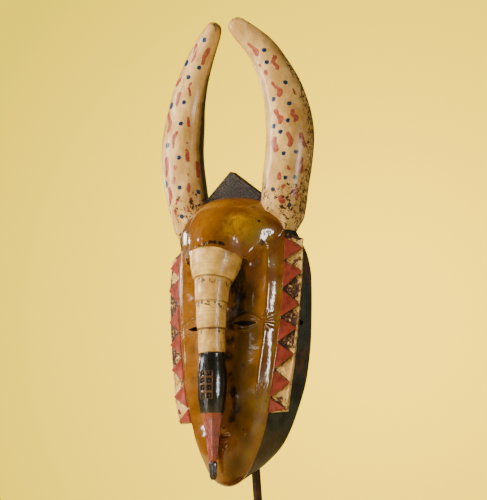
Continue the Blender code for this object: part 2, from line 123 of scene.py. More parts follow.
# Outlines and sections of the head, as (place, value) stops in shares of its height and width
FACE_OUTLINE = ((0, 0), (0.106, 0.274), (0.19, 0.445), (0.29, 0.66), (0.41, 0.825), (0.55, 0.95),
                (0.66, 0.997), (0.74, 0.99), (0.78, 0.945), (0.85, 0.705), (0.885, 0.60), (1, 0))
RIM_OUTLINE = ((0, 0), (0.1, 0.205), (0.2, 0.49), (0.29, 0.687), (0.4, 0.882), (0.5, 0.965),
               (0.63, 1), (0.685, 0.963), (0.73, 0.883), (0.8, 0.74), (0.9, 0.43), (1, 0))
EDGE_LEAN = ((0, -0.080), (0.1, -0.065), (0.2, -0.057), (0.3, -0.053), (0.4, -0.038), (0.5, -0.021),
             (0.6, -0.004), (0.7, 0.013), (0.8, 0.034), (0.86, 0.047), (0.92, 0.049), (0.966, 0.064),
             (1, 0.068))
CHEEK_REACH = ((0, 0), (0.05, 0.031), (0.1, 0.057), (0.17, 0.079), (0.225, 0.087), (0.265, 0.086),
               (0.31, 0.070), (0.37, 0.061), (0.54, 0.057), (0.655, 0.062), (0.758, 0.082))
DOME_REACH = ((0.755, 0.204), (0.806, 0.207), (0.832, 0.208), (0.87, 0.197), (0.93, 0.167), (0.97, 0.126),
              (0.9925, 0.074), (1, 0))
CHEEK_SECTION = (2.3, 0.65)
LIP_SECTION = (1.6, 1.0)
CROWN_SECTION = (2.2, 0.6)
LIP_HEIGHT = 0.80
LIP_OVER = 0.15
BROW_FALL = ((-0.2, 0.064), (0, 0.056), (0.2, 0.064), (0.35, 0.079), (0.45, 0.091), (0.54, 0.107),
             (0.62, 0.091), (0.7, 0.067), (0.8, 0.047), (0.9, 0.030), (1, 0))
HOLLOW_REACH = ((0, 0.03), (0.1, 0.06), (0.22, 0.06), (0.32, 0.05), (0.55, 0.046), (0.75, 0.055),
                (0.86, 0.1), (1, 0.085))
BROW_ROW = 0.758
BROW_LEDGE = 0.008
BROW_FALL_FROM = 0.35
BROW_FALL_FADE = 2.4
RIDGE_AT = 0.81
RIDGE_SHARE = 0.8
RIDGE_FLANK = 1.4
RIDGE_FROM = 0.24
RIDGE_OVER = 0.2
NOSE_FROM = 0.275
NOSE_OVER = 0.02
NOSE_FADE_OVER = 0.4
NOSE_FADE = 0.6
HOLLOW_PAST = 1.6
FRINGE_FROM = 0.325
FRINGE_TO = 0.750
FRINGE_SLOPE_FROM = 0.716
TRIANGLE_APEXES = (0.016, 0.159, 0.306, 0.44, 0.56, 0.74, 0.88)
TRIANGLE_END = 0.968
TRIANGLE_FILL = 0.96

# Axes as (place along, coordinates in shares) and radii in shares of the widest
BEAK_AXIS = ((0, -0.010, 0.885), (0.08, -0.0665, 0.785), (0.19, -0.099, 0.703), (0.28, -0.1186, 0.628),
             (0.385, -0.1314, 0.538), (0.49, -0.1372, 0.45), (0.6, -0.148, 0.362), (0.735, -0.1638, 0.248),
             (1, -0.185, 0.0276))
BEAK_RADII = ((0, 0.85), (0.05, 0.98), (0.08, 1.0), (0.193, 0.765), (0.202, 0.705), (0.282, 0.62), (0.291, 0.595),
              (0.386, 0.555), (0.395, 0.53), (0.48, 0.525), (0.491, 0.50), (0.54, 0.535), (0.6, 0.57),
              (0.66, 0.55), (0.73, 0.455), (0.741, 0.43), (0.93, 0.20), (0.985, 0.175), (1.0, 0.10))
HORN_AXIS = ((0, 0.73, 0.15, -0.28), (0.2, 0.91, 0.152, -0.011), (0.42, 1.035, 0.187, 0.305),
             (0.6, 0.95, 0.208, 0.52), (0.8, 0.66, 0.203, 0.77), (1, 0.15, 0.152, 0.985))
HORN_RADII = ((0, 0.88), (0.2, 0.96), (0.36, 1.0), (0.45, 0.995), (0.6, 0.89), (0.78, 0.69),
              (0.87, 0.585), (0.94, 0.485), (0.975, 0.405), (0.992, 0.31), (1.0, 0.16))

# Fine carving, in metres, and how many rows and columns its surfaces have
FACE_ROWS = 240
DOME_ROWS = 62
FACE_COLUMNS = 157
WALL_COLUMNS = 9
WALL_SPREAD = 1.7
ARRIS_WIDTH = 0.02
RIDGE_LINE_WIDTH = 0.018
ROUNDING_PASSES = 7
HOLLOW_ROWS = 90
HOLLOW_COLUMNS = 61
BEAK_ROWS = 210
BEAK_SIDES = 80
HORN_ROWS = 104
HORN_TIP_ROWS = 14
HORN_TIP_FROM = 0.93
HORN_SIDES = 60
CREST_ROWS = 30
CREST_COLUMNS = 81
FRINGE_ROWS = 150
FRINGE_COLUMNS = 15
SLIT_POINTS = 40
HOLE_POINTS = 24
CARVING_INSET = 0.00035
HORN_INSET = 0.0006
LID_RELIEF = 0.0013
LID_CREASE = 0.0003
SOCKET_CREASE = 0.0005
FAN_LINES = 7
FAN_SPREAD = math.radians(130)
FAN_REACH = 0.0125
FAN_DEPTH = 0.0012
FAN_WIDTH = 0.0005
MOUTH_Z = 0.1615
MOUTH_HALF_WIDTH = 0.016
MOUTH_GROOVE = 0.0013
MOUTH_DEPTH = 0.0016
TOOL_MARK_SIZE = 0.022
TOOL_MARK_DEPTH = 0.00024
WALL_MARK_SIZE = 0.03
HOLLOW_MARK_SIZE = 0.024
ADZE_DEPTH = 0.0009
BEAK_WOBBLE = 0.00015
RED_FACETS = 6
NOTCH_AT = 0.925
NOTCH_WIDTH = 0.006
NOTCH_DEPTH = 0.0011
HORN_MARK_SIZE = 0.013
HORN_MARK_SHARE = 0.012
HORN_FOOT_SHARE = 0.27
HATCH_DEPTH = 0.00075
FLAT_SHARE = 0.92
FLAT_SINK = 0.0006
PIT_SIZE = 0.007
PIT_DEPTH = 0.0004
TRIANGLE_LAYERS = ((-0.6, 1.0), (0.62, 1.0), (0.95, 0.86))
SLIT_SLOPE = math.tan(math.radians(35))
LATTICE_COLUMNS = 2
LATTICE_ROWS = 4
LATTICE_FROM = 0.566
LATTICE_TO = 0.684
LATTICE_HALF_ANGLE = math.radians(31)
LATTICE_TURN = math.radians(4)
LATTICE_DEPTH = 0.0015
BLACK_FROM = 0.486
RED_FROM = 0.736
BEAK_RINGS = (0.198, 0.287, 0.391)
HORN_FOOT_TOP = CROWN_Z + 0.025

# Finishes of the carved piece, in the order of its material slots
# The slit finish is painted shade inside the eye slits and the tie holes.
FINISHES = ("amber", "horn", "crest", "beak", "fringe", "triangle", "wall", "inside", "slit")
AMBER, HORN, CREST, BEAK, FRINGE, TRIANGLE, SIDE, INSIDE, SLIT = range(len(FINISHES))

# The photograph's camera
IMAGE_WIDTH = 487
IMAGE_HEIGHT = 500
LENS = 144.0
SENSOR = 36.0
CAMERA_AZIMUTH = math.radians(30)
CAMERA_ELEVATION = math.radians(-6)
CAMERA_ROLL = math.radians(-4)
PIXEL = 0.001
BACKGROUND_MIDDLE = (380, 320)
BACKGROUND_FADE = (0.03, 0.23)
ROOM_IN_GLOSS = 0.3
CAMERA_PLACE = Vector((1.01374934, FACE_Y - 1.72014328, 0.13647833))

# Painted dots and dabs on the horns, read off the photograph: pixels x, y, and a stroke's half width
DOT_RADIUS = 0.0021
LEFT_DOTS = ((204.2, 39.9), (186.3, 63.1), (199.1, 67.6), (188.2, 77.1), (183.9, 102.3), (171.4, 105.7),
             (180.8, 123.5), (167.5, 145.4), (178.8, 157.6), (166.2, 184.5), (179.5, 187.6), (198.4, 192.0),
             (181.6, 216.6))
RIGHT_DOTS = ((264.1, 50.0), (266.7, 62.1), (285.5, 82.3), (273.6, 99.1), (289.2, 103.4), (287.8, 120.2),
              (273.6, 126.3), (280.3, 131.7), (283.6, 153.1), (296.2, 151.8), (285.3, 177.6), (294.9, 177.1),
              (272.8, 189.2), (289.3, 204.8))
LEFT_DABS = (
    ((196.1, 45.9, 1.7), (194.4, 55.0, 1.5), (191.9, 61.0, 0.9)),
    ((208.4, 50.1, 2.1), (204.2, 57.1, 2.0), (202.8, 63.4, 1.4)),
    ((180.3, 79.5, 1.3), (177.2, 83.7, 1.8)),
    ((190.9, 83.0, 0.7), (188.8, 88.0, 0.9), (190.2, 95.7, 0.9)),
    ((179.3, 93.6, 1.8), (176.5, 105.5, 1.2)),
    ((168.4, 114.5, 1.3), (170.5, 123.4, 1.6), (168.4, 131.1, 1.5)),
    ((188.1, 117.5, 1.0), (188.8, 125.5, 1.5)),
    ((176.5, 132.5, 1.5), (174.0, 136.7, 1.6), (173.0, 147.6, 0.9)),
    ((187.0, 150.1, 1.4), (187.7, 159.9, 1.9)),
    ((187.4, 142.7, 1.0), (187.2, 143.2, 1.0)),
    ((167.0, 159.9, 2.5), (166.7, 164.1, 2.1), (167.4, 168.3, 1.7), (166.3, 174.6, 1.7)),
    ((175.1, 166.8, 1.6), (175.0, 169.0, 1.2)),
    ((174.4, 177.5, 1.2), (173.3, 182.3, 1.9)),
    ((188.1, 174.0, 1.2), (188.0, 175.5, 1.0)),
    ((188.8, 184.2, 1.2), (188.4, 190.8, 1.6)),
    ((197.9, 163.4, 2.1), (197.2, 168.3, 1.3), (198.9, 171.1, 2.7), (198.2, 176.0, 1.9)),
    ((169.5, 189.4, 1.8), (170.9, 195.7, 2.0), (169.8, 202.7, 1.6)),
    ((177.9, 199.9, 1.6), (175.8, 203.4, 1.3)),
    ((190.9, 198.5, 1.6), (191.2, 202.0, 1.2)),
    ((187.7, 206.2, 0.9), (188.8, 211.8, 1.1)),
    ((175.4, 211.5, 1.6), (175.8, 213.5, 1.4)),
)
RIGHT_DABS = (
    ((248.2, 43.7, 0.9), (252.4, 47.6, 1.3), (255.8, 51.0, 2.5), (257.0, 53.8, 2.0)),
    ((274.8, 57.0, 1.9), (272.7, 61.9, 1.5), (276.8, 66.2, 1.3), (277.2, 68.0, 1.8)),
    ((259.2, 64.9, 1.0), (260.2, 66.0, 1.0)),
    ((265.2, 71.4, 1.6), (266.2, 73.6, 1.6)),
    ((272.2, 83.0, 1.2), (274.1, 86.1, 0.9), (278.0, 88.0, 0.7), (280.4, 90.8, 2.4), (279.4, 94.2, 2.6)),
    ((292.7, 88.6, 0.6), (295.5, 94.2, 1.1)),
    ((275.5, 111.0, 2.1), (278.0, 115.6, 1.2), (280.5, 118.4, 2.6), (280.0, 122.6, 1.8)),
    ((292.6, 110.6, 1.6), (292.4, 114.4, 1.8), (296.8, 117.0, 1.9), (295.0, 120.8, 1.3)),
    ((287.7, 132.7, 1.7), (289.7, 137.1, 1.9), (291.4, 140.8, 2.2), (289.6, 145.0, 2.1)),
    ((300.9, 134.2, 1.6), (302.0, 139.0, 2.4), (304.9, 145.6, 1.6)),
    ((274.6, 139.3, 2.3), (273.7, 143.7, 2.2), (276.0, 149.0, 2.8)),
    ((302.3, 159.0, 1.3), (300.9, 162.1, 1.3), (302.3, 165.7, 0.8), (301.6, 170.9, 2.1)),
    ((288.0, 167.4, 1.7), (289.0, 168.4, 1.5)),
    ((278.9, 174.5, 1.9), (279.2, 177.8, 2.1)),
    ((283.8, 185.4, 1.4), (282.4, 187.6, 1.6)),
    ((297.9, 188.5, 0.8), (292.8, 191.4, 1.6), (296.5, 195.8, 2.1)),
    ((280.2, 197.4, 2.3), (282.4, 201.0, 2.8)),
)
# Soft patches of tone on the face, as pixels x, y and a radius in metres, with their strength
YELLOW_PATCHES = ((241, 226, 0.013, 1.1), (256, 217, 0.010, 0.5), (270, 232, 0.009, 0.4), (234, 221, 0.008, 0.5),
                  (232, 233, 0.009, 0.5), (216, 232, 0.012, 0.25), (190, 292, 0.006, 0.35), (276, 300, 0.004, 0.3))
OLIVE_PATCHES = ((256, 226, 0.012, 0.9), (249, 237, 0.010, 0.8), (266, 238, 0.009, 0.8), (272, 262, 0.009, 0.7),
                 (277, 290, 0.009, 0.8), (280, 320, 0.009, 0.8), (278, 350, 0.010, 0.8), (273, 380, 0.010, 0.8),
                 (266, 405, 0.011, 0.8), (258, 430, 0.011, 0.7), (250, 350, 0.016, 0.4), (250, 400, 0.016, 0.5),
                 (184, 243, 0.006, 0.8), (181, 300, 0.003, 0.6), (184, 360, 0.005, 0.6), (190, 400, 0.005, 0.6),
                 (196, 440, 0.006, 0.5), (248, 455, 0.009, 0.6), (212, 206, 0.006, 0.5))
# Painted shade: darker brown olive on the far cheek beside the beak, on the chin and on the left strip.
PAINTED_SHADE_PATCHES = ((246, 290, 0.012, 0.9), (252, 300, 0.010, 0.6), (246, 318, 0.013, 0.9), (252, 335, 0.012, 0.8),
                  (244, 345, 0.012, 1.0), (240, 365, 0.012, 0.9), (240, 385, 0.011, 0.8), (240, 405, 0.010, 0.8),
                  (240, 425, 0.010, 0.7), (262, 212, 0.004, 0.5), (254, 372, 0.009, 0.6), (252, 395, 0.010, 0.6),
                  (250, 415, 0.009, 0.6), (246, 440, 0.010, 0.7), (238, 462, 0.012, 0.75), (232, 476, 0.010, 0.6),
                  (192, 290, 0.007, 0.35), (193, 320, 0.008, 0.45), (194, 350, 0.008, 0.5), (195, 380, 0.008, 0.55),
                  (198, 408, 0.008, 0.55), (203, 432, 0.007, 0.5), (210, 452, 0.007, 0.5), (256, 262, 0.008, 0.4))
# Near-black patches, partly old patina and partly painted shadow, deepest on the right beside the beak where its
# shadow falls.
SHADOW_AND_PATINA_PATCHES = ((243, 262, 0.006, 0.7), (238, 272, 0.008, 1.0), (236, 283, 0.010, 1.2), (240, 297, 0.008, 0.9),
                (236, 312, 0.008, 1.0), (231, 325, 0.006, 0.9), (230, 340, 0.006, 0.9), (229, 356, 0.006, 0.8),
                (231, 376, 0.006, 0.8), (233, 392, 0.007, 1.0), (235, 408, 0.007, 0.9), (232, 420, 0.005, 0.7),
                (259, 221, 0.0014, 1.6), (238, 480, 0.009, 0.45), (187, 262, 0.006, 0.9), (189, 274, 0.004, 0.6),
                (244, 312, 0.004, 0.6), (240, 328, 0.003, 0.8), (262, 243, 0.0035, 0.9), (243, 365, 0.003, 0.5))
CHIPS = ((195, 247, 0.0026, 0.95), (199, 246, 0.0030, 0.95), (205, 244, 0.0030, 0.9), (210, 242, 0.0026, 0.9),
         (215, 242, 0.0028, 0.95), (220, 243, 0.0028, 0.9), (224, 244, 0.0024, 0.85), (252, 207, 0.0024, 0.75),
         (257, 208, 0.0024, 0.75), (224, 428, 0.0026, 0.85), (226, 440, 0.0018, 0.7), (229, 447, 0.0018, 0.75),
         (232, 451, 0.0016, 0.7), (222, 452, 0.0016, 0.6), (222, 473, 0.0024, 0.75), (233, 476, 0.0018, 0.6),
         (243, 430, 0.0024, 0.75), (244, 473, 0.0016, 0.5), (227, 458, 0.0014, 0.6), (263, 209, 0.0020, 0.6))
FLAKED_PATCHES = ((224, 432, 0.008, 0.7), (223, 447, 0.006, 1.0), (258, 390, 0.007, 0.8), (262, 384, 0.005, 0.7),
                  (247, 434, 0.004, 0.8), (235, 345, 0.005, 0.4))
RUSTY_PATCHES = ((305, 262, 0.012, 1.0), (308, 275, 0.012, 0.8), (307, 300, 0.008, 0.6), (306, 370, 0.010, 0.7),
                 (303, 400, 0.012, 0.5), (296, 232, 0.006, 0.6))


def smooth(at, stops):
    """Monotone cubic curve through (place, value) stops: harmonic mean slopes at the inner stops."""
    table = np.array(stops, dtype=float)
    place, value = table[:, 0], table[:, 1]
    step = np.diff(place)
    slope = np.diff(value) / step
    tangent = np.concatenate([slope[:1], np.zeros(len(step) - 1), slope[-1:]])
    same = slope[:-1] * slope[1:] > 0
    inner = np.flatnonzero(same) + 1
    tangent[inner] = 2 * slope[inner - 1] * slope[inner] / (slope[inner - 1] + slope[inner])
    at = np.clip(at, place[0], place[-1])
    i = np.clip(np.searchsorted(place, at, side="right") - 1, 0, len(step) - 1)
    f = (at - place[i]) / step[i]
    rise = value[i + 1] - value[i]
    return (value[i] + rise * f * f * (3 - 2 * f)
            + step[i] * f * (1 - f) * ((1 - f) * tangent[i] - f * tangent[i + 1]))


def ease(at):
    """Smooth step: 3 a^2 - 2 a^3, held at 0 and 1 outside."""
    at = np.clip(at, 0, 1)
    return at * at * (3 - 2 * at)


def bell(offset, width):
    """Bell curve: e to the minus (offset / width) squared."""
    return np.exp(-(offset / width) ** 2)


def section(out, shape):
    """Cross-section (1 - out ** power) ** root, from 1 in the middle to 0 at the edge."""
    power, root = shape
    return (1 - out ** power) ** root


def waves(points, size, seed):
    """Smooth random field of about -1 to 1: the mean of ten sine waves of random direction, near size long."""
    rng = np.random.default_rng(seed)
    total = np.zeros(points.shape[:-1])
    for _ in range(10):
        direction = rng.normal(size=3)
        direction /= np.linalg.norm(direction) * size * rng.uniform(0.7, 1.5)
        total += np.sin(2 * np.pi * (points @ direction) + rng.uniform(0, 2 * np.pi))
    return total / 5


def spread(count, start, stop, weight):
    """Places from start to stop, set closer together where weight (a function of the place) is larger."""
    fine = np.linspace(start, stop, 2001)
    gathered = np.concatenate([[0], np.cumsum((weight(fine[1:]) + weight(fine[:-1])) / 2)])
    return np.interp(np.linspace(0, gathered[-1], count), gathered, fine)


def height_share(t):
    """Share of the height at t: (1 - cos(pi t)) / 2."""
    return (1 - np.cos(np.pi * t)) / 2


def face_edge(t):
    """Half width, depth and height of the face's edge at t, from its outline and lean stops."""
    share = height_share(t)
    x = FACE_WIDTH / 2 * smooth(t, FACE_OUTLINE)
    return x, FACE_Y + FACE_HEIGHT * smooth(share, EDGE_LEAN), CHIN_HEIGHT + FACE_HEIGHT * share


def rim_edge(t):
    """Half width, depth and height of the open back's rim at t, on the leaning back plane."""
    z = RIM_BOTTOM + RIM_HEIGHT * height_share(t)
    return RIM_WIDTH / 2 * smooth(t, RIM_OUTLINE), RIM_Y + RIM_LEAN * (z - RIM_BOTTOM), z


def face_front(u, t):
    """Front of the face: the edge, carried forward by the cheeks' section times their reach, or by the
    dome's above the brow line. Rows sink towards the middle by the brow's fall."""
    edge_x, edge_y, edge_z = face_edge(t)
    out = np.abs(u)
    below = ease((t - BROW_FALL_FROM) / (BROW_ROW - BROW_FALL_FROM))
    above = (np.maximum(1 - t, 0) / (1 - BROW_ROW)) ** BROW_FALL_FADE
    z = edge_z - FACE_HEIGHT * smooth(out, BROW_FALL) * np.where(t < BROW_ROW, below, above)

    inside = RIDGE_SHARE + (1 - RIDGE_SHARE) * (1 - (np.minimum(out, RIDGE_AT) / RIDGE_AT) ** 2)
    ridged = np.where(out < RIDGE_AT, inside, RIDGE_SHARE * ((1 - out) / (1 - RIDGE_AT)) ** RIDGE_FLANK)
    rounded = section(out, CHEEK_SECTION)
    cheek = rounded + (ridged - rounded) * ease((t - RIDGE_FROM) / RIDGE_OVER)
    cheek_y = FACE_HEIGHT * smooth(t, CHEEK_REACH) * cheek
    nose = NOSE_HEIGHT * ease((t - NOSE_FROM) / NOSE_OVER)
    nose = nose * (1 - NOSE_FADE * ease((t - NOSE_FROM - NOSE_OVER) / NOSE_FADE_OVER))
    cheek_y = cheek_y + nose * bell(u * edge_x, NOSE_WIDTH / 2)

    share = (z - CHIN_HEIGHT) / FACE_HEIGHT
    higher = ease((share - LIP_HEIGHT) / LIP_OVER)
    dome = section(out, LIP_SECTION) * (1 - higher) + section(out, CROWN_SECTION) * higher
    dome_y = FACE_HEIGHT * smooth(share, DOME_REACH) * dome
    forward = ease((t - BROW_ROW) / BROW_LEDGE)
    return u * edge_x, edge_y - (cheek_y + (dome_y - cheek_y) * forward), z


def softened(rings, share, passes):
    """Rings with their corners rounded: each pass moves a point by share towards the mean of its neighbours."""
    for _ in range(passes):
        mean = (np.roll(rings, 1, axis=1) + np.roll(rings, -1, axis=1)) / 2
        rings = rings + (mean - rings) * share[..., None]
    return rings


def face_relief(x, z):
    """Height of the fine carving on the face: lids as a swelling of an almond, a crease round them, a fan
    of straight grooves at each outer corner, and a bell-shaped groove for the mouth."""
    dx = np.abs(x) - EYE_SPACING / 2
    dz = z - EYE_Z
    inside = 1 - (dx / (EYE_LENGTH / 2)) ** 2 - np.abs(dz) / (EYE_HEIGHT / 2)
    relief = LID_RELIEF * ease(inside / 0.22 + 0.15) - LID_CREASE * bell(inside - 0.42, 0.05)
    relief = relief - SOCKET_CREASE * bell(inside + 0.12, 0.05)
    from_corner = dx - EYE_LENGTH / 2 + 0.001
    reach = np.hypot(from_corner, dz)
    shown = ease((reach - 0.0015) / 0.0015) * ease((FAN_REACH - reach) / 0.003) * (from_corner > 0)
    for angle in np.linspace(-FAN_SPREAD / 2, FAN_SPREAD / 2, FAN_LINES):
        across = from_corner * math.sin(angle) - dz * math.cos(angle)
        relief = relief - FAN_DEPTH * shown * bell(across, FAN_WIDTH)
    mouth = bell(z - MOUTH_Z, MOUTH_GROOVE) * ease((MOUTH_HALF_WIDTH - np.abs(x)) / 0.006)
    return relief - MOUTH_DEPTH * mouth


def hollow_front(u, t):
    """Inside of the face: a plain bowl, a wall's thickness inside the edge."""
    share = height_share(t)
    x = (FACE_WIDTH / 2 - WALL) * smooth(t, FACE_OUTLINE)
    z = CHIN_HEIGHT + CHIN_WALL + (FACE_HEIGHT - CHIN_WALL - CROWN_WALL) * share
    edge_y = FACE_Y + FACE_HEIGHT * smooth((z - CHIN_HEIGHT) / FACE_HEIGHT, EDGE_LEAN) + WALL
    return u * x, edge_y - FACE_HEIGHT * smooth(t, HOLLOW_REACH) * section(np.abs(u), CHEEK_SECTION), z


def hollow_rim(t):
    """Inner edge of the rim, a wall's thickness inside the outer one."""
    z = RIM_BOTTOM + CHIN_WALL + (RIM_HEIGHT - CHIN_WALL - CROWN_WALL + RIM_DROP) * height_share(t)
    return (RIM_WIDTH / 2 - WALL) * smooth(t, RIM_OUTLINE), RIM_Y + RIM_LEAN * (z - RIM_BOTTOM), z


def shell(front, rim, columns, rows, steps, reach):
    """Rings of a head as one array: across the front at each t, straight back along both walls."""
    u, t = np.meshgrid(columns, rows)
    across = np.stack(front(u, t), axis=-1)
    corner = across[:, -1]
    back = np.stack(rim(rows), axis=-1)
    share = (np.arange(1, steps + 1) / steps)[None, :, None] ** WALL_SPREAD * reach
    wall = corner[:, None] + (back - corner)[:, None] * share
    mirrored = wall[:, ::-1] * np.array([-1, 1, 1])
    return np.concatenate([across, wall, mirrored], axis=1)


def sweep(path, radii, flatness, turn, angle):
    """Elliptic rings square to a path: cosine along the first axis, flatness times sine along the second."""
    tangent = np.gradient(path, axis=0)
    tangent /= np.linalg.norm(tangent, axis=1)[:, None]
    long_axis = np.array([math.cos(turn), math.sin(turn), 0.0])
    first = long_axis - tangent * (tangent @ long_axis)[:, None]
    first /= np.linalg.norm(first, axis=1)[:, None]
    second = np.cross(tangent, first)
    offset = (np.cos(angle)[None, :, None] * first[:, None]
              + flatness * np.sin(angle)[None, :, None] * second[:, None])
    return path[:, None] + np.broadcast_to(radii, (len(path), len(angle)))[..., None] * offset


def closed_body(name, rings, finish, capped):
    """Closed mesh through rings of equal counts, each quad given its finish, doubles merged."""
    count, size = rings.shape[:2]
    row = np.arange(count - 1)[:, None] * size
    place = np.arange(size)[None, :]
    after = (place + 1) % size
    quads = np.stack([row + place, row + after, row + size + after, row + size + place], axis=-1).reshape(-1, 4)
    faces = quads.tolist()
    marks = np.broadcast_to(finish, (count - 1, size)).reshape(-1).tolist()
    if capped:
        faces += [list(range(size - 1, -1, -1)), list(range((count - 1) * size, count * size))]
        marks += [marks[0], marks[-1]]
    return merged_body(name, rings.reshape(-1, 3), faces, marks)


def merged_body(name, points, faces, marks):
    """Mesh object from points and faces, exact doubles merged, normals outward, one finish number per face."""
    mesh = bpy.data.meshes.new(name)
    mesh.from_pydata(np.asarray(points).tolist(), [], faces)
    for slot in FINISHES:
        mesh.materials.append(bpy.data.materials[slot])
    mesh.polygons.foreach_set("material_index", np.array(marks, dtype=np.int32))
    bm = bmesh.new()
    bm.from_mesh(mesh)
    bmesh.ops.remove_doubles(bm, verts=bm.verts, dist=1e-6)
    bmesh.ops.dissolve_degenerate(bm, edges=bm.edges, dist=1e-6)
    bmesh.ops.triangulate(bm, faces=bm.faces)
    bmesh.ops.recalc_face_normals(bm, faces=bm.faces)
    bm.to_mesh(mesh)
    bm.free()
    body = bpy.data.objects.new(name, mesh)
    bpy.context.scene.collection.objects.link(body)
    return body


def make_head():
    """The head: face_front less its relief and tool marks, its arris and ridge rounded by softened, with
    adze marks on the side walls."""
    near_eye = EYE_Z - CHIN_HEIGHT
    rows = np.concatenate([
        spread(FACE_ROWS, 0, BROW_ROW, lambda t: 1 + 2.4 * bell(FACE_HEIGHT * height_share(t) - near_eye, 0.016)),
        BROW_ROW + BROW_LEDGE * np.array([0.2, 0.45, 0.7, 1.0]),
        np.linspace(BROW_ROW + BROW_LEDGE, 1, DOME_ROWS)[1:]])
    columns = spread(FACE_COLUMNS, -1, 1,
                     lambda u: 1 + 1.4 * bell(np.abs(u) - 0.86, 0.09) + 4 * bell(np.abs(u) - 1, ARRIS_WIDTH))
    steps = WALL_COLUMNS
    rings = shell(face_front, rim_edge, columns, rows, steps, 1)
    front = rings[:, :len(columns)]
    fade = ease((1 - np.abs(columns)) / 0.05)[None, :] * ease(np.sin(np.pi * rows) / 0.15)[:, None]
    below = (rows <= BROW_ROW)[:, None]
    marks = TOOL_MARK_DEPTH * (waves(front, TOOL_MARK_SIZE, 3) - 1)
    front[..., 1] -= fade * (face_relief(front[..., 0], front[..., 2]) * below + marks)
    walls = rings[:, len(columns):]
    across = (np.concatenate([np.arange(1, steps + 1), np.arange(steps, 0, -1)]) / steps) ** WALL_SPREAD
    depth = ADZE_DEPTH * (waves(walls, WALL_MARK_SIZE, 5) - 1) * (4 * across * (1 - across))[None, :]
    walls[..., 0] += np.sign(walls[..., 0]) * depth * ease(np.sin(np.pi * rows) / 0.3)[:, None]
    out = np.concatenate([np.abs(columns), 1 + across])
    arris = bell(out - 1, ARRIS_WIDTH)[None, :] * ease(np.sin(np.pi * rows) / 0.1)[:, None]
    crest = bell(out - RIDGE_AT, RIDGE_LINE_WIDTH)[None, :] * ease((rows - RIDGE_FROM) / 0.1)[:, None] * below
    rings = softened(rings, np.maximum(arris, crest), ROUNDING_PASSES)
    finish = np.full(rings.shape[1], SIDE)
    finish[:len(columns) - 1] = AMBER
    return closed_body("carved_mask", rings, finish, False)


def make_hollow():
    """The wearer's space, scooped with shallow adze marks that fade out at its mouth."""
    columns = np.linspace(-1, 1, HOLLOW_COLUMNS)
    rows = np.linspace(0, 1, HOLLOW_ROWS)
    rings = shell(hollow_front, hollow_rim, columns, rows, 1, HOLLOW_PAST)
    front = rings[:, :len(columns)]
    fade = ease((1 - np.abs(columns)) / 0.2)[None, :] * ease(np.sin(np.pi * rows) / 0.3)[:, None]
    front[..., 1] += fade * ADZE_DEPTH * np.abs(waves(front, HOLLOW_MARK_SIZE, 8))
    return closed_body("hollow", rings, INSIDE, False)


def lattice(turned, place):
    """Depth from 0 to 1 of the small carved grid: cells sunk between bars, a lozenge left high in each."""
    turned = turned - LATTICE_TURN
    inside = ease((LATTICE_HALF_ANGLE - np.abs(turned)) / 0.08)
    inside = inside * ease((place - LATTICE_FROM) / 0.004) * ease((LATTICE_TO - place) / 0.004)
    column = (turned / LATTICE_HALF_ANGLE + 1) / 2 * LATTICE_COLUMNS
    row = (place - LATTICE_FROM) / (LATTICE_TO - LATTICE_FROM) * LATTICE_ROWS
    from_bar = np.minimum(np.abs(column - np.round(column)) * 0.9, np.abs(row - np.round(row)))
    lozenge = np.abs(column % 1 - 0.5) * 2.4 + np.abs(row % 1 - 0.5) * 1.8
    return inside * ease((from_bar - 0.1) / 0.1) * (1 - 0.75 * ease((0.42 - lozenge) / 0.2))


def make_beak():
    """Beak: round rings on the axis, with carved steps, a flattened lattice panel in front on the black
    part, flat facets on the red part and a notch behind the blunt tip."""
    places = spread(BEAK_ROWS, 0, 1, lambda s: 1 + 3 * bell(s - 0.625, 0.06))
    angle = spread(BEAK_SIDES + 1, 0, 2 * np.pi, lambda a: 1 + 3 * bell(a - np.pi / 2, 0.6))[:-1]
    shares = np.stack([smooth(places, [(s[0], s[k]) for s in BEAK_AXIS]) for k in (1, 2)], axis=-1)
    path = np.stack([np.zeros(len(places)), FACE_Y + FACE_HEIGHT * shares[:, 0],
                     CHIN_HEIGHT + FACE_HEIGHT * shares[:, 1]], axis=-1)
    radii = smooth(places, BEAK_RADII)[:, None] * BEAK_DIAMETER / 2 - CARVING_INSET
    rings = sweep(path, np.ones((len(places), 1)), 1, 0, angle)
    facing = rings - path[:, None]
    turned = np.arctan2(facing[..., 0], -facing[..., 1])
    place = places[:, None]
    red = ease((place - RED_FROM) / 0.02)
    half = np.pi / RED_FACETS
    flat = np.cos(half) / np.cos((turned + half) % (2 * half) - half)
    radii = radii * (1 + red * (flat - 1) * 0.9)
    notch = bell(place - NOTCH_AT, NOTCH_WIDTH) * NOTCH_DEPTH
    radii = radii - notch - LATTICE_DEPTH * lattice(turned, place)
    wobble = BEAK_WOBBLE * (waves(rings, 0.02, 12) - 1)
    rings = path[:, None] + (rings - path[:, None]) * (radii + wobble * (place > 0.1))[..., None]
    return closed_body("beak", rings, BEAK, True)


def horn_axis(places):
    """Axis of the right horn at the given places, from its stops."""
    x, y, z = (smooth(places, [(s[0], s[k]) for s in HORN_AXIS]) for k in (1, 2, 3))
    return np.stack([x * FACE_WIDTH / 2, FACE_Y + HORN_RISE * y, CROWN_Z + HORN_RISE * z], axis=-1)


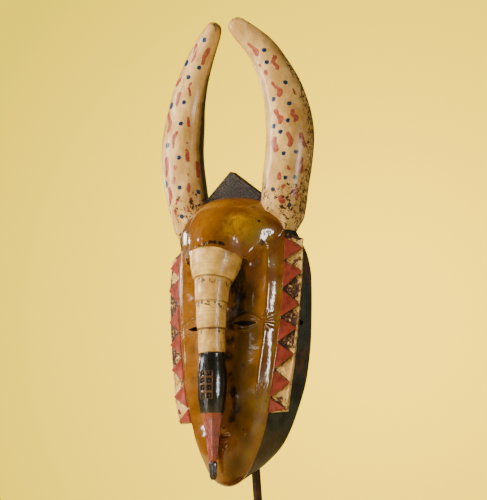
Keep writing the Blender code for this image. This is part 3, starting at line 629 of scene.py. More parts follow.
def make_horn(side):
    """Horn: elliptic rings on its axis with long knife facets, the foot cut off on a slope."""
    tip = (1 - HORN_TIP_FROM) * (1 - np.linspace(0, 1, HORN_TIP_ROWS + 1)[1:]) ** 1.6
    places = np.concatenate([np.linspace(0, HORN_TIP_FROM, HORN_ROWS), 1 - tip])
    path = horn_axis(places)
    radii = smooth(places, HORN_RADII) * HORN_THICKNESS / 2 - HORN_INSET
    angle = np.linspace(0, 2 * np.pi, HORN_SIDES, endpoint=False)
    rings = sweep(path, radii[:, None], HORN_FLATNESS, HORN_TURN, angle)
    arm = rings - path[:, None]
    facets = waves(rings * np.array([1, 1, 0.35]), HORN_MARK_SIZE, 21 + side)
    marks = 1 + HORN_MARK_SHARE * (np.minimum(facets, 1) - 1)
    rings = path[:, None] + arm * marks[..., None]
    foot_x, _, foot_z = face_edge(BROW_ROW)
    low = places < HORN_FOOT_SHARE
    count = int(low.sum())
    floor = foot_z + (rings[low][..., 0] - foot_x) * HORN_FOOT_SLOPE
    layer = HORN_FOOT_LAYER * 4 / count * np.arange(count)[:, None]
    rings[low, :, 2] = np.maximum(rings[low][..., 2], floor + layer)
    slack = HORN_THICKNESS * np.clip((rings[..., 2] - foot_z) / HORN_FOOT_HEIGHT, 0, 1) ** 2
    back = RIM_Y + RIM_LEAN * (rings[..., 2] - RIM_BOTTOM) + HORN_FOOT_BACK
    rings[..., 1] = np.clip(rings[..., 1], FACE_Y + HORN_FOOT_FRONT - slack, back + slack)
    rings[..., 0] *= side
    return closed_body("horn", rings, HORN, True)


def make_crest():
    """Gabled plate: rows rise from the foot to the gable line, cross-hatched by two sets of slanting grooves."""
    front_y = face_edge(np.array(1.0))[1]
    half = CREST_WIDTH / 2
    foot = CROWN_Z - CREST_SINK
    shoulder = CROWN_Z - CREST_SHOULDER_DROP
    x = np.linspace(-half, half, CREST_COLUMNS)
    top = shoulder + (CREST_RISE + CREST_SHOULDER_DROP) * (1 - np.abs(x) / half)
    up = np.linspace(0, 1, CREST_ROWS)
    z = foot + (top[None, :] - foot) * up[:, None]
    across = np.broadcast_to(x, z.shape)
    grooves = bell((across + z * 0.9 + 0.002) % 0.0042 - 0.0021, 0.0007)
    grooves = np.maximum(grooves, bell((across * 0.8 - z) % 0.0036 - 0.0018, 0.0006))
    edge = ease((1 - up) / 0.06)[:, None] * ease((half - np.abs(x)) / 0.002)[None, :]
    depth = front_y + 0.0002 + HATCH_DEPTH * grooves * edge
    front = np.stack([across, depth, z], axis=-1)
    back = np.stack([across, np.full_like(z, front_y + CREST_THICKNESS), z], axis=-1)
    rings = np.concatenate([front, back[:, ::-1]], axis=1)
    return closed_body("crest", rings, CREST, True)


def fringe_frame(side, t):
    """Inner and outer edge of a fringe's recessed face and its outward normal, at each t."""
    x, y, z = face_edge(t)
    z = z - (LEFT_FRINGE_DROP if side < 0 else 0)
    share = (t - FRINGE_FROM) / (FRINGE_TO - FRINGE_FROM)
    tilt = FRINGE_TILT_LOW + (FRINGE_TILT_HIGH - FRINGE_TILT_LOW) * share
    across = np.stack([side * np.cos(tilt), np.sin(tilt), 0 * tilt], axis=-1)
    normal = np.stack([side * np.sin(tilt), -np.cos(tilt), 0 * tilt], axis=-1)
    inner = np.stack([side * x, y, z], axis=-1) - normal * FRINGE_STEP_BACK
    outer = inner + across * (FRINGE_WIDTH - CARVING_INSET / 2)
    outer[..., 2] -= FRINGE_TOP_SLOPE * ease((t - FRINGE_SLOPE_FROM) / (FRINGE_TO - FRINGE_SLOPE_FROM))
    return inner, outer, normal


def make_fringe(side):
    """Flange beside the face: a pitted flat between a raised outer edge and the head."""
    t = np.linspace(FRINGE_FROM, FRINGE_TO, FRINGE_ROWS)
    inner, outer, normal = fringe_frame(side, t)
    share = np.concatenate([[-FRINGE_ROOT], np.linspace(0, FLAT_SHARE - 0.04, FRINGE_COLUMNS), [FLAT_SHARE, 1.0]])
    front = inner[:, None] + (outer - inner)[:, None] * share[None, :, None]
    sunk = ease((FLAT_SHARE - share) / 0.04)[None, :] * FLAT_SINK
    pits = PIT_DEPTH * np.abs(waves(front, PIT_SIZE, 31)) * (share > 0)[None, :]
    front = front - normal[:, None] * (sunk + pits)[..., None]
    thick = np.stack([outer - normal * FRINGE_THICKNESS,
                      inner - (outer - inner) * FRINGE_ROOT - normal * FRINGE_THICKNESS], axis=1)
    rings = np.concatenate([front, thick], axis=1)
    return closed_body("fringe", rings, FRINGE, True)


def make_triangles(side):
    """Raised triangles on a fringe: each a low stump whose top is drawn in a little all round."""
    points, faces = [], []
    length = FRINGE_TO - FRINGE_FROM
    ends = [0.0] + [(a + b) / 2 for a, b in zip(TRIANGLE_APEXES, TRIANGLE_APEXES[1:])] + [TRIANGLE_END]
    for tip, below, above in zip(TRIANGLE_APEXES, ends, ends[1:]):
        stops = FRINGE_FROM + length * (tip + (np.array([below, above, tip]) - tip) * TRIANGLE_FILL)
        inner, outer, normal = fringe_frame(side, stops)
        corners = np.array([inner[0], inner[1], outer[2]])
        centre = corners.mean(axis=0)
        out = normal.mean(axis=0)
        first = len(points)
        for lift, drawn in TRIANGLE_LAYERS:
            points += (centre + (corners - centre) * drawn + out * lift * TRIANGLE_RELIEF).tolist()
        faces += [[first, first + 1, first + 2], [first + 6, first + 8, first + 7]]
        for low in (0, 3):
            for k in range(3):
                n = (k + 1) % 3
                faces.append([first + low + k, first + low + 3 + k, first + low + 3 + n, first + low + n])
    return merged_body("triangles", points, faces, [TRIANGLE] * len(faces))


def almond_cutter(side):
    """Slit of the eye: a flat almond outline pushed through the face, sloping down inwards."""
    turn = np.linspace(0, 2 * np.pi, SLIT_POINTS, endpoint=False)
    x = side * EYE_SPACING / 2 + np.cos(turn) * SLIT_LENGTH / 2
    z = EYE_Z + np.sign(np.sin(turn)) * np.sin(turn) ** 2 * SLIT_HEIGHT / 2
    row = math.acos(1 - 2 * (EYE_Z - CHIN_HEIGHT) / FACE_HEIGHT) / math.pi
    front = float(face_front(np.array(EYE_SPACING / FACE_WIDTH), np.array(row))[1])
    rings = []
    for y in (front - WALL, front + 4 * WALL):
        rings.append(np.stack([x, np.full(SLIT_POINTS, y), z - (y - front) * SLIT_SLOPE], axis=-1))
    return closed_body("slit", np.array(rings), SLIT, True)


def tie_hole_cutter():
    """Round bore through both side walls behind the fringes."""
    _, outer, normal = fringe_frame(1, np.array((FRINGE_FROM + FRINGE_TO) / 2))
    y = outer[1] - normal[1] * (FRINGE_THICKNESS + TIE_HOLE_GAP)
    angle = np.linspace(0, 2 * np.pi, HOLE_POINTS, endpoint=False)
    z = EYE_Z - TIE_HOLE_DROP
    ring = np.stack([y + TIE_HOLE_RADIUS * np.cos(angle), z + TIE_HOLE_RADIUS * np.sin(angle)], axis=-1)
    rings = [np.concatenate([np.full((HOLE_POINTS, 1), x), ring], axis=1) for x in (-RIM_WIDTH, RIM_WIDTH)]
    return closed_body("tie_hole", np.array(rings), SLIT, True)


def join_bodies(body, added, cut):
    """One closed mesh: the body with the added bodies joined and the others cut away."""
    for others, operation in ((added, "UNION"), (cut, "DIFFERENCE")):
        for other in others:
            modifier = body.modifiers.new(other.name, "BOOLEAN")
            modifier.object = other
            modifier.operation = operation
            modifier.solver = "MANIFOLD"
    depsgraph = bpy.context.evaluated_depsgraph_get()
    mesh = bpy.data.meshes.new_from_object(body.evaluated_get(depsgraph))
    body.modifiers.clear()
    body.data = mesh
    for other in added + cut:
        bpy.data.objects.remove(other)
    return body


def camera_matrix():
    """The photograph's camera: back vector from azimuth and elevation, then rolled about it."""
    a, e = CAMERA_AZIMUTH, CAMERA_ELEVATION
    back = Vector((math.sin(a) * math.cos(e), -math.cos(a) * math.cos(e), math.sin(e)))
    level = Vector((math.cos(a), math.sin(a), 0))
    upright = Vector((-math.sin(a) * math.sin(e), math.cos(a) * math.sin(e), math.cos(e)))
    right = level * math.cos(CAMERA_ROLL) + upright * math.sin(CAMERA_ROLL)
    up = upright * math.cos(CAMERA_ROLL) - level * math.sin(CAMERA_ROLL)
    matrix = Matrix((right, up, back)).transposed().to_4x4()
    matrix.translation = CAMERA_PLACE
    return matrix


def sight_line(x, y):
    """Start and direction of the line of sight through a pixel of the photograph."""
    scale = SENSOR / LENS / IMAGE_HEIGHT
    local = Vector(((x - IMAGE_WIDTH / 2) * scale, (IMAGE_HEIGHT / 2 - y) * scale, -1))
    return CAMERA_PLACE, (camera_matrix().to_3x3() @ local).normalized()


def on_surface(tree, x, y, depth):
    """Point of a surface seen at a pixel and how squarely it faces the camera, or the surface's nearest point
    to the line of sight at a depth."""
    start, line = sight_line(x, y)
    hit, normal = tree.ray_cast(start, line)[:2]
    if hit is None:
        hit, normal = tree.find_nearest(start + line * ((depth - start.y) / line.y))[:2]
    return hit, abs(normal.dot(line))


def surface_of(body):
    """Search tree of a body's surface."""
    points = [v.co.copy() for v in body.data.vertices]
    return BVHTree.FromPolygons(points, [tuple(p.vertices) for p in body.data.polygons])


def stroke_distance(points, strokes):
    """Distance of each point outside the nearest stroke, a chain of ball-ended cones."""
    nearest = np.full(len(points), 1.0)
    for stroke in strokes:
        for (a, ra), (b, rb) in zip(stroke, stroke[1:]):
            line = b - a
            share = np.clip((points - a) @ line / max(line @ line, 1e-12), 0, 1)
            gap = np.linalg.norm(points - a - share[:, None] * line, axis=1) - (ra + (rb - ra) * share)
            nearest = np.minimum(nearest, gap)
    return nearest


def placed_strokes(tree, dabs):
    """Dabs given in pixels, placed on a horn's surface, wider where it turns away so that their width shows."""
    depth = float(horn_axis(np.array([0.4]))[0, 1])
    strokes = []
    for dab in dabs:
        stroke = []
        for x, y, r in dab:
            point, facing = on_surface(tree, x, y, depth)
            stroke.append((np.array(point), r * PIXEL / max(facing, 0.35) ** 0.6))
        strokes.append(stroke)
    return strokes


def hidden_side(strokes, side, step):
    """Copies of every step-th stroke, turned half round the horn's axis."""
    axis = horn_axis(np.linspace(0, 1, 120)) * np.array([side, 1, 1])
    turned = []
    for stroke in strokes[::step]:
        copy = []
        for point, radius in stroke:
            centre = axis[np.argmin(np.linalg.norm(axis - point, axis=1))]
            copy.append((2 * centre - point, radius))
        turned.append(copy)
    return turned


def soft_patches(points, tree, patches, mirrored):
    """Sum of bell-shaped patches round the points seen at given pixels, and their mirror images if asked."""
    total = np.zeros(len(points))
    for x, y, radius, strength in patches:
        centre = np.array(on_surface(tree, x, y, FACE_Y)[0])
        total += strength * bell(np.linalg.norm(points - centre, axis=1), radius)
        if mirrored:
            centre = centre * np.array([-1, 1, 1])
            total += strength * bell(np.linalg.norm(points - centre, axis=1), radius)
    return total


def set_field(mesh, name, values):
    """Store one number per point of a mesh for its materials."""
    field = mesh.attributes.new(name, "FLOAT", "POINT")
    field.data.foreach_set("value", np.asarray(values, dtype=np.float32))


class Finish:
    """One procedural material: a Principled shader and the nodes that feed it."""

    def __init__(self, name, roughness, coat=0.0, coat_roughness=0.1, metallic=0.0, specular=0.5):
        self.material = bpy.data.materials.new(name)
        self.material.use_nodes = True
        self.tree = self.material.node_tree
        self.shader = self.tree.nodes["Principled BSDF"]
        plain = {"Roughness": roughness, "Coat Weight": coat, "Coat Roughness": coat_roughness,
                 "Metallic": metallic, "Specular IOR Level": specular}
        for socket, value in plain.items():
            self.shader.inputs[socket].default_value = value
        self.place = self.tree.nodes.new("ShaderNodeTexCoord").outputs["Object"]

    def node(self, kind, inputs, **settings):
        """Add a node with settings and inputs, each input a socket to link or a value to set."""
        made = self.tree.nodes.new(kind)
        for key, value in settings.items():
            setattr(made, key, value)
        for key, value in inputs.items():
            self.feed(made.inputs[key], value)
        return made

    def feed(self, socket, value):
        """Link a socket to another, or set its value."""
        if isinstance(value, bpy.types.NodeSocket):
            self.tree.links.new(value, socket)
        elif socket.type == "RGBA":
            socket.default_value = (*value, 1)
        else:
            socket.default_value = value

    def stretched(self, scale):
        """Object coordinates scaled along each axis."""
        return self.node("ShaderNodeMapping", {"Vector": self.place, "Scale": scale}).outputs["Vector"]

    def noise(self, size, detail=4.0, rough=0.6, stretch=(1, 1, 1), twist=0.0):
        """Noise whose features are about size metres."""
        made = self.node("ShaderNodeTexNoise", {"Vector": self.stretched(stretch), "Scale": 1 / size,
                                                "Detail": detail, "Roughness": rough, "Distortion": twist})
        return made.outputs["Fac"]

    def cells(self, size, feature="F1", stretch=(1, 1, 1)):
        """Distance field of random cells about size metres wide."""
        made = self.node("ShaderNodeTexVoronoi", {"Vector": self.stretched(stretch), "Scale": 1 / size},
                         feature=feature)
        return made.outputs["Distance"]

    def field(self, name):
        """A number stored on the mesh."""
        return self.node("ShaderNodeAttribute", {}, attribute_name=name).outputs["Fac"]

    def math(self, operation, first, second=0.0):
        """One arithmetic step, held between 0 and 1 only where a step says so."""
        made = self.tree.nodes.new("ShaderNodeMath")
        made.operation = operation
        self.feed(made.inputs[0], first)
        self.feed(made.inputs[1], second)
        return made.outputs[0]

    def between(self, value, low, high, start=0.0, stop=1.0):
        """Smooth step of a value from low to high."""
        made = self.node("ShaderNodeMapRange", {"Value": value, "From Min": low, "From Max": high,
                                                "To Min": start, "To Max": stop},
                         interpolation_type="SMOOTHSTEP")
        return made.outputs["Result"]

    def mix(self, amount, first, second):
        """Mix of two colours."""
        made = self.tree.nodes.new("ShaderNodeMix")
        made.data_type = "RGBA"
        self.feed(made.inputs["Factor"], amount)
        self.feed(made.inputs[6], first)
        self.feed(made.inputs[7], second)
        return made.outputs[2]

    def heights(self, *layers):
        """Weighted sum of height fields, each a (socket, metres) pair."""
        total = None
        for source, depth in layers:
            part = self.math("MULTIPLY", source, depth)
            total = part if total is None else self.math("ADD", total, part)
        return total

    def done(self, colour, roughness, height):
        """Connect colour, roughness and bump, and give back the material."""
        self.feed(self.shader.inputs["Base Color"], colour)
        self.feed(self.shader.inputs["Roughness"], roughness)
        bump = self.node("ShaderNodeBump", {"Height": height, "Distance": 1.0, "Strength": 1.0})
        self.feed(self.shader.inputs["Normal"], bump.outputs["Normal"])
        self.feed(self.shader.inputs["Coat Normal"], bump.outputs["Normal"])
        return self.material


def amber_varnish(paint):
    """Varnished amber face: mottled orange and brown, olive and yellow patches, dark flecks and flaked spots, painted
    shade on the far cheek, chin and left strip, and near-black patches beside the beak, partly patina and partly
    painted shadow.
    """
    f = Finish("amber", 0.3, coat=1.0, coat_roughness=0.07, specular=0.12)
    broad = f.between(f.noise(0.03, 3, 0.55), 0.36, 0.66)
    fine = f.noise(0.006, 5, 0.65, (1, 1, 0.5), 0.4)
    colour = f.mix(broad, paint.amber_deep, paint.amber)
    colour = f.mix(f.between(fine, 0.5, 0.75, 0, 0.6), colour, paint.amber_dark)
    olive = f.math("MULTIPLY", f.field("olive"), f.between(f.noise(0.009, 4, 0.65), 0.25, 0.6, 0.55, 1.0))
    colour = f.mix(f.between(olive, 0.0, 1.0, 0, 0.95), colour, paint.olive)
    streaks = f.between(f.noise(0.006, 5, 0.72, (1.3, 1, 0.6), 1.2), 0.32, 0.62, 0.15, 1.0)
    yellow = f.math("MULTIPLY", f.field("yellow"), streaks)
    colour = f.mix(f.between(yellow, 0.05, 0.9), colour, paint.amber_light)
    smears = f.between(f.noise(0.005, 4, 0.7, (0.5, 1, 1.2), 1.5), 0.56, 0.68, 0, 0.6)
    colour = f.mix(smears, colour, paint.amber_dark)
    # Painted shade from the shaded field, in brown olive.
    colour = f.mix(f.between(f.field("shaded"), 0.0, 1.0, 0, 0.8), colour, paint.amber_shade)
    flecks = f.between(f.noise(0.0022, 3, 0.7), 0.62, 0.70)
    spread_out = f.between(f.noise(0.02, 3, 0.6), 0.45, 0.65)
    colour = f.mix(f.math("MULTIPLY", f.math("MULTIPLY", flecks, spread_out), 0.85), colour, paint.grime)
    # Near-black patches from the dark field: partly patina, partly painted shadow beside the beak.
    blotch = f.noise(0.006, 4, 0.7, (1, 1, 0.6))
    dark = f.math("MULTIPLY", f.field("dark"), f.between(blotch, 0.3, 0.6, 0.45, 1.25))
    colour = f.mix(f.between(dark, 0.15, 0.9, 0, 0.97), colour, paint.black)
    lost = f.math("ADD", f.math("MULTIPLY", f.field("chips"), 0.8), f.noise(0.0035, 4, 0.7))
    chips = f.between(lost, 1.0, 1.12)
    under = f.mix(f.between(f.noise(0.004, 4, 0.7), 0.42, 0.58), paint.black, paint.red_ground)
    colour = f.mix(chips, colour, under)
    flakes = f.between(f.noise(0.003, 4, 0.75, (1, 1, 0.7)), 0.58, 0.62)
    flakes = f.math("MULTIPLY", flakes, f.field("flaked"))
    colour = f.mix(f.between(flakes, 0.2, 0.6), colour, paint.bare)
    rough = f.between(f.noise(0.012, 4, 0.6), 0.3, 0.7, 0.22, 0.42)
    height = f.heights((f.noise(0.012, 3, 0.5), 0.0004), (f.noise(0.0025, 3, 0.6), 0.00006), (flakes, -0.0006),
                       (chips, -0.0009), (f.math("MULTIPLY", f.field("flaked"), f.noise(0.004, 4, 0.7)), 0.0012))
    # Less varnish shine where the shade is painted.
    f.feed(f.shader.inputs["Coat Weight"], f.between(f.field("shaded"), 0.15, 0.9, 1.0, 0.3))
    return f.done(colour, rough, height)


def horn_paint(paint):
    """Cream horns with brick-red dabs and blue dots, browned and flaked along the back, the foot and the tip, with a
    dark band that is partly dark paint and partly painted shade.
    """
    f = Finish("horn", 0.34, coat=0.6, coat_roughness=0.22, specular=0.25)
    broad = f.between(f.noise(0.016, 4, 0.6, (1, 1, 0.5)), 0.34, 0.64, 0, 0.9)
    colour = f.mix(broad, paint.cream, paint.tan)
    fine = f.noise(0.0035, 5, 0.7, (1, 1, 0.6))
    colour = f.mix(f.between(fine, 0.54, 0.78, 0, 0.6), colour, paint.brown_stain)
    grains = f.between(f.noise(0.0016, 3, 0.7), 0.62, 0.68, 0, 0.55)
    colour = f.mix(f.math("MULTIPLY", grains, f.between(f.noise(0.02, 3, 0.6), 0.4, 0.6)), colour, paint.brown_stain)
    # Olive band on the side turned from the key light: partly dark paint, partly painted shade.
    band = f.math("ADD", f.field("band"), f.math("MULTIPLY", f.math("SUBTRACT", f.noise(0.008, 4, 0.65), 0.5), 0.4))
    colour = f.mix(f.between(band, 0.05, 0.55, 0, 0.85), colour, paint.horn_olive)
    shake = f.math("MULTIPLY", f.math("SUBTRACT", f.noise(0.0026, 3, 0.6), 0.5), 0.0024)
    red = f.between(f.math("ADD", f.field("red_gap"), shake), 0.0007, 0.0001)
    red = f.math("MULTIPLY", red, f.between(f.noise(0.0018, 3, 0.7), 0.3, 0.42, 0.5, 1.0))
    red_tone = f.mix(f.between(f.noise(0.004, 3), 0.35, 0.65), paint.brick, paint.brick_pale)
    colour = f.mix(red, colour, red_tone)
    blue = f.between(f.math("ADD", f.field("blue_gap"), f.math("MULTIPLY", shake, 0.4)), 0.0006, 0.0001)
    colour = f.mix(blue, colour, paint.blue)
    worn = f.math("ADD", f.field("wear"), f.math("MULTIPLY", f.math("SUBTRACT", f.noise(0.011, 4, 0.7), 0.5), 1.2))
    specks = f.between(f.noise(0.0022, 4, 0.75, (1, 1, 0.7)), 0.48, 0.55)
    worn_away = f.math("MULTIPLY", f.between(worn, 0.3, 0.62), specks)
    colour = f.mix(worn_away, colour, paint.worn_brown)
    clusters = f.math("MULTIPLY", f.field("foot"), f.between(f.noise(0.013, 3, 0.6), 0.40, 0.56))
    flakes = f.math("MULTIPLY", f.between(f.noise(0.0042, 4, 0.7), 0.53, 0.57), f.between(clusters, 0.2, 0.5))
    colour = f.mix(flakes, colour, paint.worn_brown)
    # Slate where the band is deepest: partly dark paint, partly painted shade.
    solid = f.math("MAXIMUM", f.between(worn, 0.85, 1.15), f.between(band, 0.62, 0.86))
    colour = f.mix(f.math("MULTIPLY", solid, 0.94), colour, paint.slate)
    gone = f.math("MAXIMUM", worn_away, flakes)
    rough = f.between(gone, 0, 1, 0.3, 0.6)
    height = f.heights((f.noise(0.012, 3, 0.5), 0.0006), (fine, 0.0002), (gone, -0.00035), (red, 0.00008),
                       (blue, 0.00012))
    return f.done(colour, rough, height)


def crest_paint(paint):
    """Dark tooled crest: grey-black with reddish bare wood showing on the raised hatching."""
    f = Finish("crest", 0.45, coat=0.3, coat_roughness=0.25)
    fine = f.noise(0.0022, 4, 0.7)
    colour = f.mix(f.between(fine, 0.45, 0.62), paint.black, paint.crest_grey)
    colour = f.mix(f.between(f.noise(0.006, 4, 0.7), 0.52, 0.68, 0, 0.75), colour, paint.purple_brown)
    height = f.heights((fine, 0.0012), (f.noise(0.005, 2), 0.0008))
    return f.done(colour, f.between(fine, 0.3, 0.7, 0.35, 0.6), height)


def beak_paint(paint):
    """Beak in bands: cream with fine lines round it, glossy black, then brick red and a dark tip."""
    f = Finish("beak", 0.3, coat=0.8, coat_roughness=0.14, specular=0.3)
    along = f.field("beak_place")
    lines = f.node("ShaderNodeTexNoise", {"Vector": f.node("ShaderNodeCombineXYZ", {
        "X": f.math("MULTIPLY", along, 300.0), "Y": f.math("MULTIPLY", f.noise(0.03, 2), 2.5)}).outputs["Vector"],
        "Scale": 1.0, "Detail": 3.0, "Roughness": 0.7}).outputs["Fac"]
    broad = f.between(f.noise(0.018, 3, 0.6), 0.36, 0.66)
    cream = f.mix(broad, paint.cream_pale, paint.tan)
    cream = f.mix(f.between(lines, 0.50, 0.74, 0, 0.6), cream, paint.brown_stain)
    cream = f.mix(f.between(f.field("beak_groove"), 0.15, 0.6, 0, 0.9), cream, paint.rust)
    grime = f.math("MULTIPLY", f.field("beak_ring"), f.between(f.noise(0.005, 4, 0.7), 0.52, 0.6))
    cream = f.mix(f.between(grime, 0.3, 0.7, 0, 0.9), cream, paint.worn_brown)
    black = f.mix(f.between(f.noise(0.004, 3, 0.7), 0.64, 0.74), paint.black, paint.worn_brown)
    # Lighter brown on the lattice's raised bars: painted highlight where they catch the light, also rubbed paint.
    black = f.mix(f.field("lattice"), black, paint.lattice)
    red = f.mix(f.between(f.noise(0.006, 4, 0.7), 0.42, 0.68), paint.brick, paint.brick_deep)
    red = f.mix(f.between(f.noise(0.0022, 3, 0.7), 0.63, 0.68, 0, 0.8), red, paint.worn_brown)
    jitter = f.math("MULTIPLY", f.math("SUBTRACT", f.noise(0.006, 3), 0.5), 0.008)
    place = f.math("ADD", along, jitter)
    colour = f.mix(f.between(place, BLACK_FROM - 0.002, BLACK_FROM + 0.002), cream, black)
    colour = f.mix(f.between(place, RED_FROM - 0.002, RED_FROM + 0.002), colour, red)
    colour = f.mix(f.between(place, 0.922, 0.932), colour, paint.tip_grey)
    is_cream = f.between(along, BLACK_FROM + 0.002, BLACK_FROM - 0.002)
    height = f.heights((f.math("MULTIPLY", lines, is_cream), 0.00018), (f.noise(0.005, 4, 0.6), 0.00022))
    return f.done(colour, f.between(lines, 0.3, 0.7, 0.26, 0.42), height)


def fringe_paint(paint):
    """Pitted cream flats of the fringes, worn through to purple-brown wood, with a dark line round the triangles that
    is partly dirt and partly painted shade at their foot.
    """
    f = Finish("fringe", 0.45, coat=0.15, coat_roughness=0.25, specular=0.25)
    colour = f.mix(f.between(f.noise(0.01, 3, 0.6), 0.35, 0.65), paint.cream, paint.straw)
    patch = f.math("ADD", f.noise(0.009, 5, 0.72), f.math("MULTIPLY", f.field("fringe_bare"), 0.13))
    worn = f.between(patch, 0.52, 0.55)
    colour = f.mix(worn, colour, paint.purple_brown)
    specks = f.math("MULTIPLY", f.between(f.noise(0.0028, 4, 0.7), 0.56, 0.60), worn)
    colour = f.mix(f.math("MULTIPLY", specks, 0.85), colour, paint.tan)
    scratches = f.between(f.noise(0.0026, 3, 0.7, (1, 1, 0.5), 1.0), 0.60, 0.64)
    colour = f.mix(f.math("MULTIPLY", scratches, 0.9), colour, paint.black)
    # Dark line just outside each raised triangle: partly dirt, partly painted shade at its foot.
    shake = f.math("MULTIPLY", f.math("SUBTRACT", f.noise(0.003, 3, 0.6), 0.5), 0.12)
    line = f.math("ABSOLUTE", f.math("ADD", f.math("SUBTRACT", f.field("from_triangle"), 0.03), shake))
    colour = f.mix(f.between(line, 0.055, 0.025, 0, 0.92), colour, paint.black)
    rim = f.between(f.math("ADD", f.field("fringe_out"), f.math("MULTIPLY", f.noise(0.004, 3), 0.1)), 0.95, 0.99)
    rim = f.math("MULTIPLY", rim, f.between(f.noise(0.006, 4, 0.7), 0.42, 0.56, 0.1, 0.85))
    colour = f.mix(rim, colour, paint.cream)
    height = f.heights((worn, -0.0005), (scratches, -0.0006), (f.noise(0.0018, 4, 0.7), 0.0004))
    return f.done(colour, f.between(worn, 0, 1, 0.38, 0.6), height)


def triangle_paint(paint):
    """Brick-red raised triangles, darker where the paint is rubbed."""
    f = Finish("triangle", 0.36, coat=0.35, coat_roughness=0.2, specular=0.25)
    colour = f.mix(f.between(f.noise(0.008, 4, 0.65), 0.38, 0.66), paint.brick, paint.brick_deep)
    colour = f.mix(f.between(f.noise(0.003, 4, 0.75), 0.62, 0.67, 0, 0.9), colour, paint.purple_brown)
    height = f.heights((f.noise(0.003, 4, 0.6), 0.0003), (f.noise(0.012, 2), 0.0008))
    return f.done(colour, f.between(f.noise(0.005, 3), 0.3, 0.7, 0.32, 0.5), height)


def wall_paint(paint):
    """Blackened side walls: bluish slate with rusty brown rubbed patches and long adze marks."""
    f = Finish("wall", 0.5, specular=0.2)
    colour = f.mix(f.between(f.noise(0.018, 4, 0.65), 0.35, 0.62), paint.slate, paint.slate_green)
    rubbed = f.math("ADD", f.noise(0.02, 5, 0.7, (1, 1, 0.6)), f.math("MULTIPLY", f.field("rusty"), 0.14))
    colour = f.mix(f.between(rubbed, 0.56, 0.70, 0, 0.85), colour, paint.rust)
    colour = f.mix(f.between(f.field("low"), 0.2, 1.0, 0, 0.75), colour, paint.olive_brown)
    height = f.heights((f.noise(0.008, 4, 0.6, (1, 1, 0.5)), 0.0009), (f.noise(0.0018, 3), 0.00015))
    return f.done(colour, f.between(f.noise(0.01, 3), 0.3, 0.7, 0.45, 0.65), height)


def raw_wood(paint):
    """Unpainted wood of the hollow: brown grain that runs upward, darker in the adze marks."""
    f = Finish("inside", 0.7)
    grain = f.noise(0.0025, 4, 0.65, (1, 1, 0.12))
    colour = f.mix(f.between(grain, 0.35, 0.7), paint.wood, paint.wood_dark)
    colour = f.mix(f.between(f.noise(0.03, 3), 0.4, 0.7, 0, 0.7), colour, paint.grime)
    height = f.heights((grain, 0.0006), (f.noise(0.012, 3), 0.0008))
    return f.done(colour, f.between(grain, 0.3, 0.7, 0.6, 0.8), height)


def painted_shade_in_cuts(paint):
    """Painted shade: near-black with a little dark brown inside the eye slits and the tie holes."""
    f = Finish("slit", 0.6, specular=0.2)
    colour = f.mix(f.between(f.noise(0.003, 4, 0.7), 0.5, 0.75, 0, 0.6), paint.black, paint.grime)
    return f.done(colour, 0.6, f.heights((f.noise(0.002, 3), 0.0004)))


def blackened_steel(name, paint, brown, streak):
    """Blackened steel: nearly black with a brown bloom and fine streaks along the piece."""
    f = Finish(name, 0.42, metallic=0.6)
    streaks = f.noise(0.0015, 4, 0.7, streak)
    colour = f.mix(f.between(f.noise(0.012, 4, 0.65), 0.4, 0.68, 0, brown), paint.steel, paint.rust)
    colour = f.mix(f.between(streaks, 0.55, 0.75, 0, 0.5), colour, paint.steel_light)
    height = f.heights((streaks, 0.00012), (f.noise(0.0009, 2), 0.00006))
    return f.done(colour, f.between(streaks, 0.3, 0.7, 0.34, 0.56), height)


def tone(name, words, red, green, blue):
    """Colour property with a linear colour as its default."""
    return FloatVectorProperty(name=name, description=words, default=(red, green, blue), min=0, max=1,
                               size=3, subtype="COLOR")


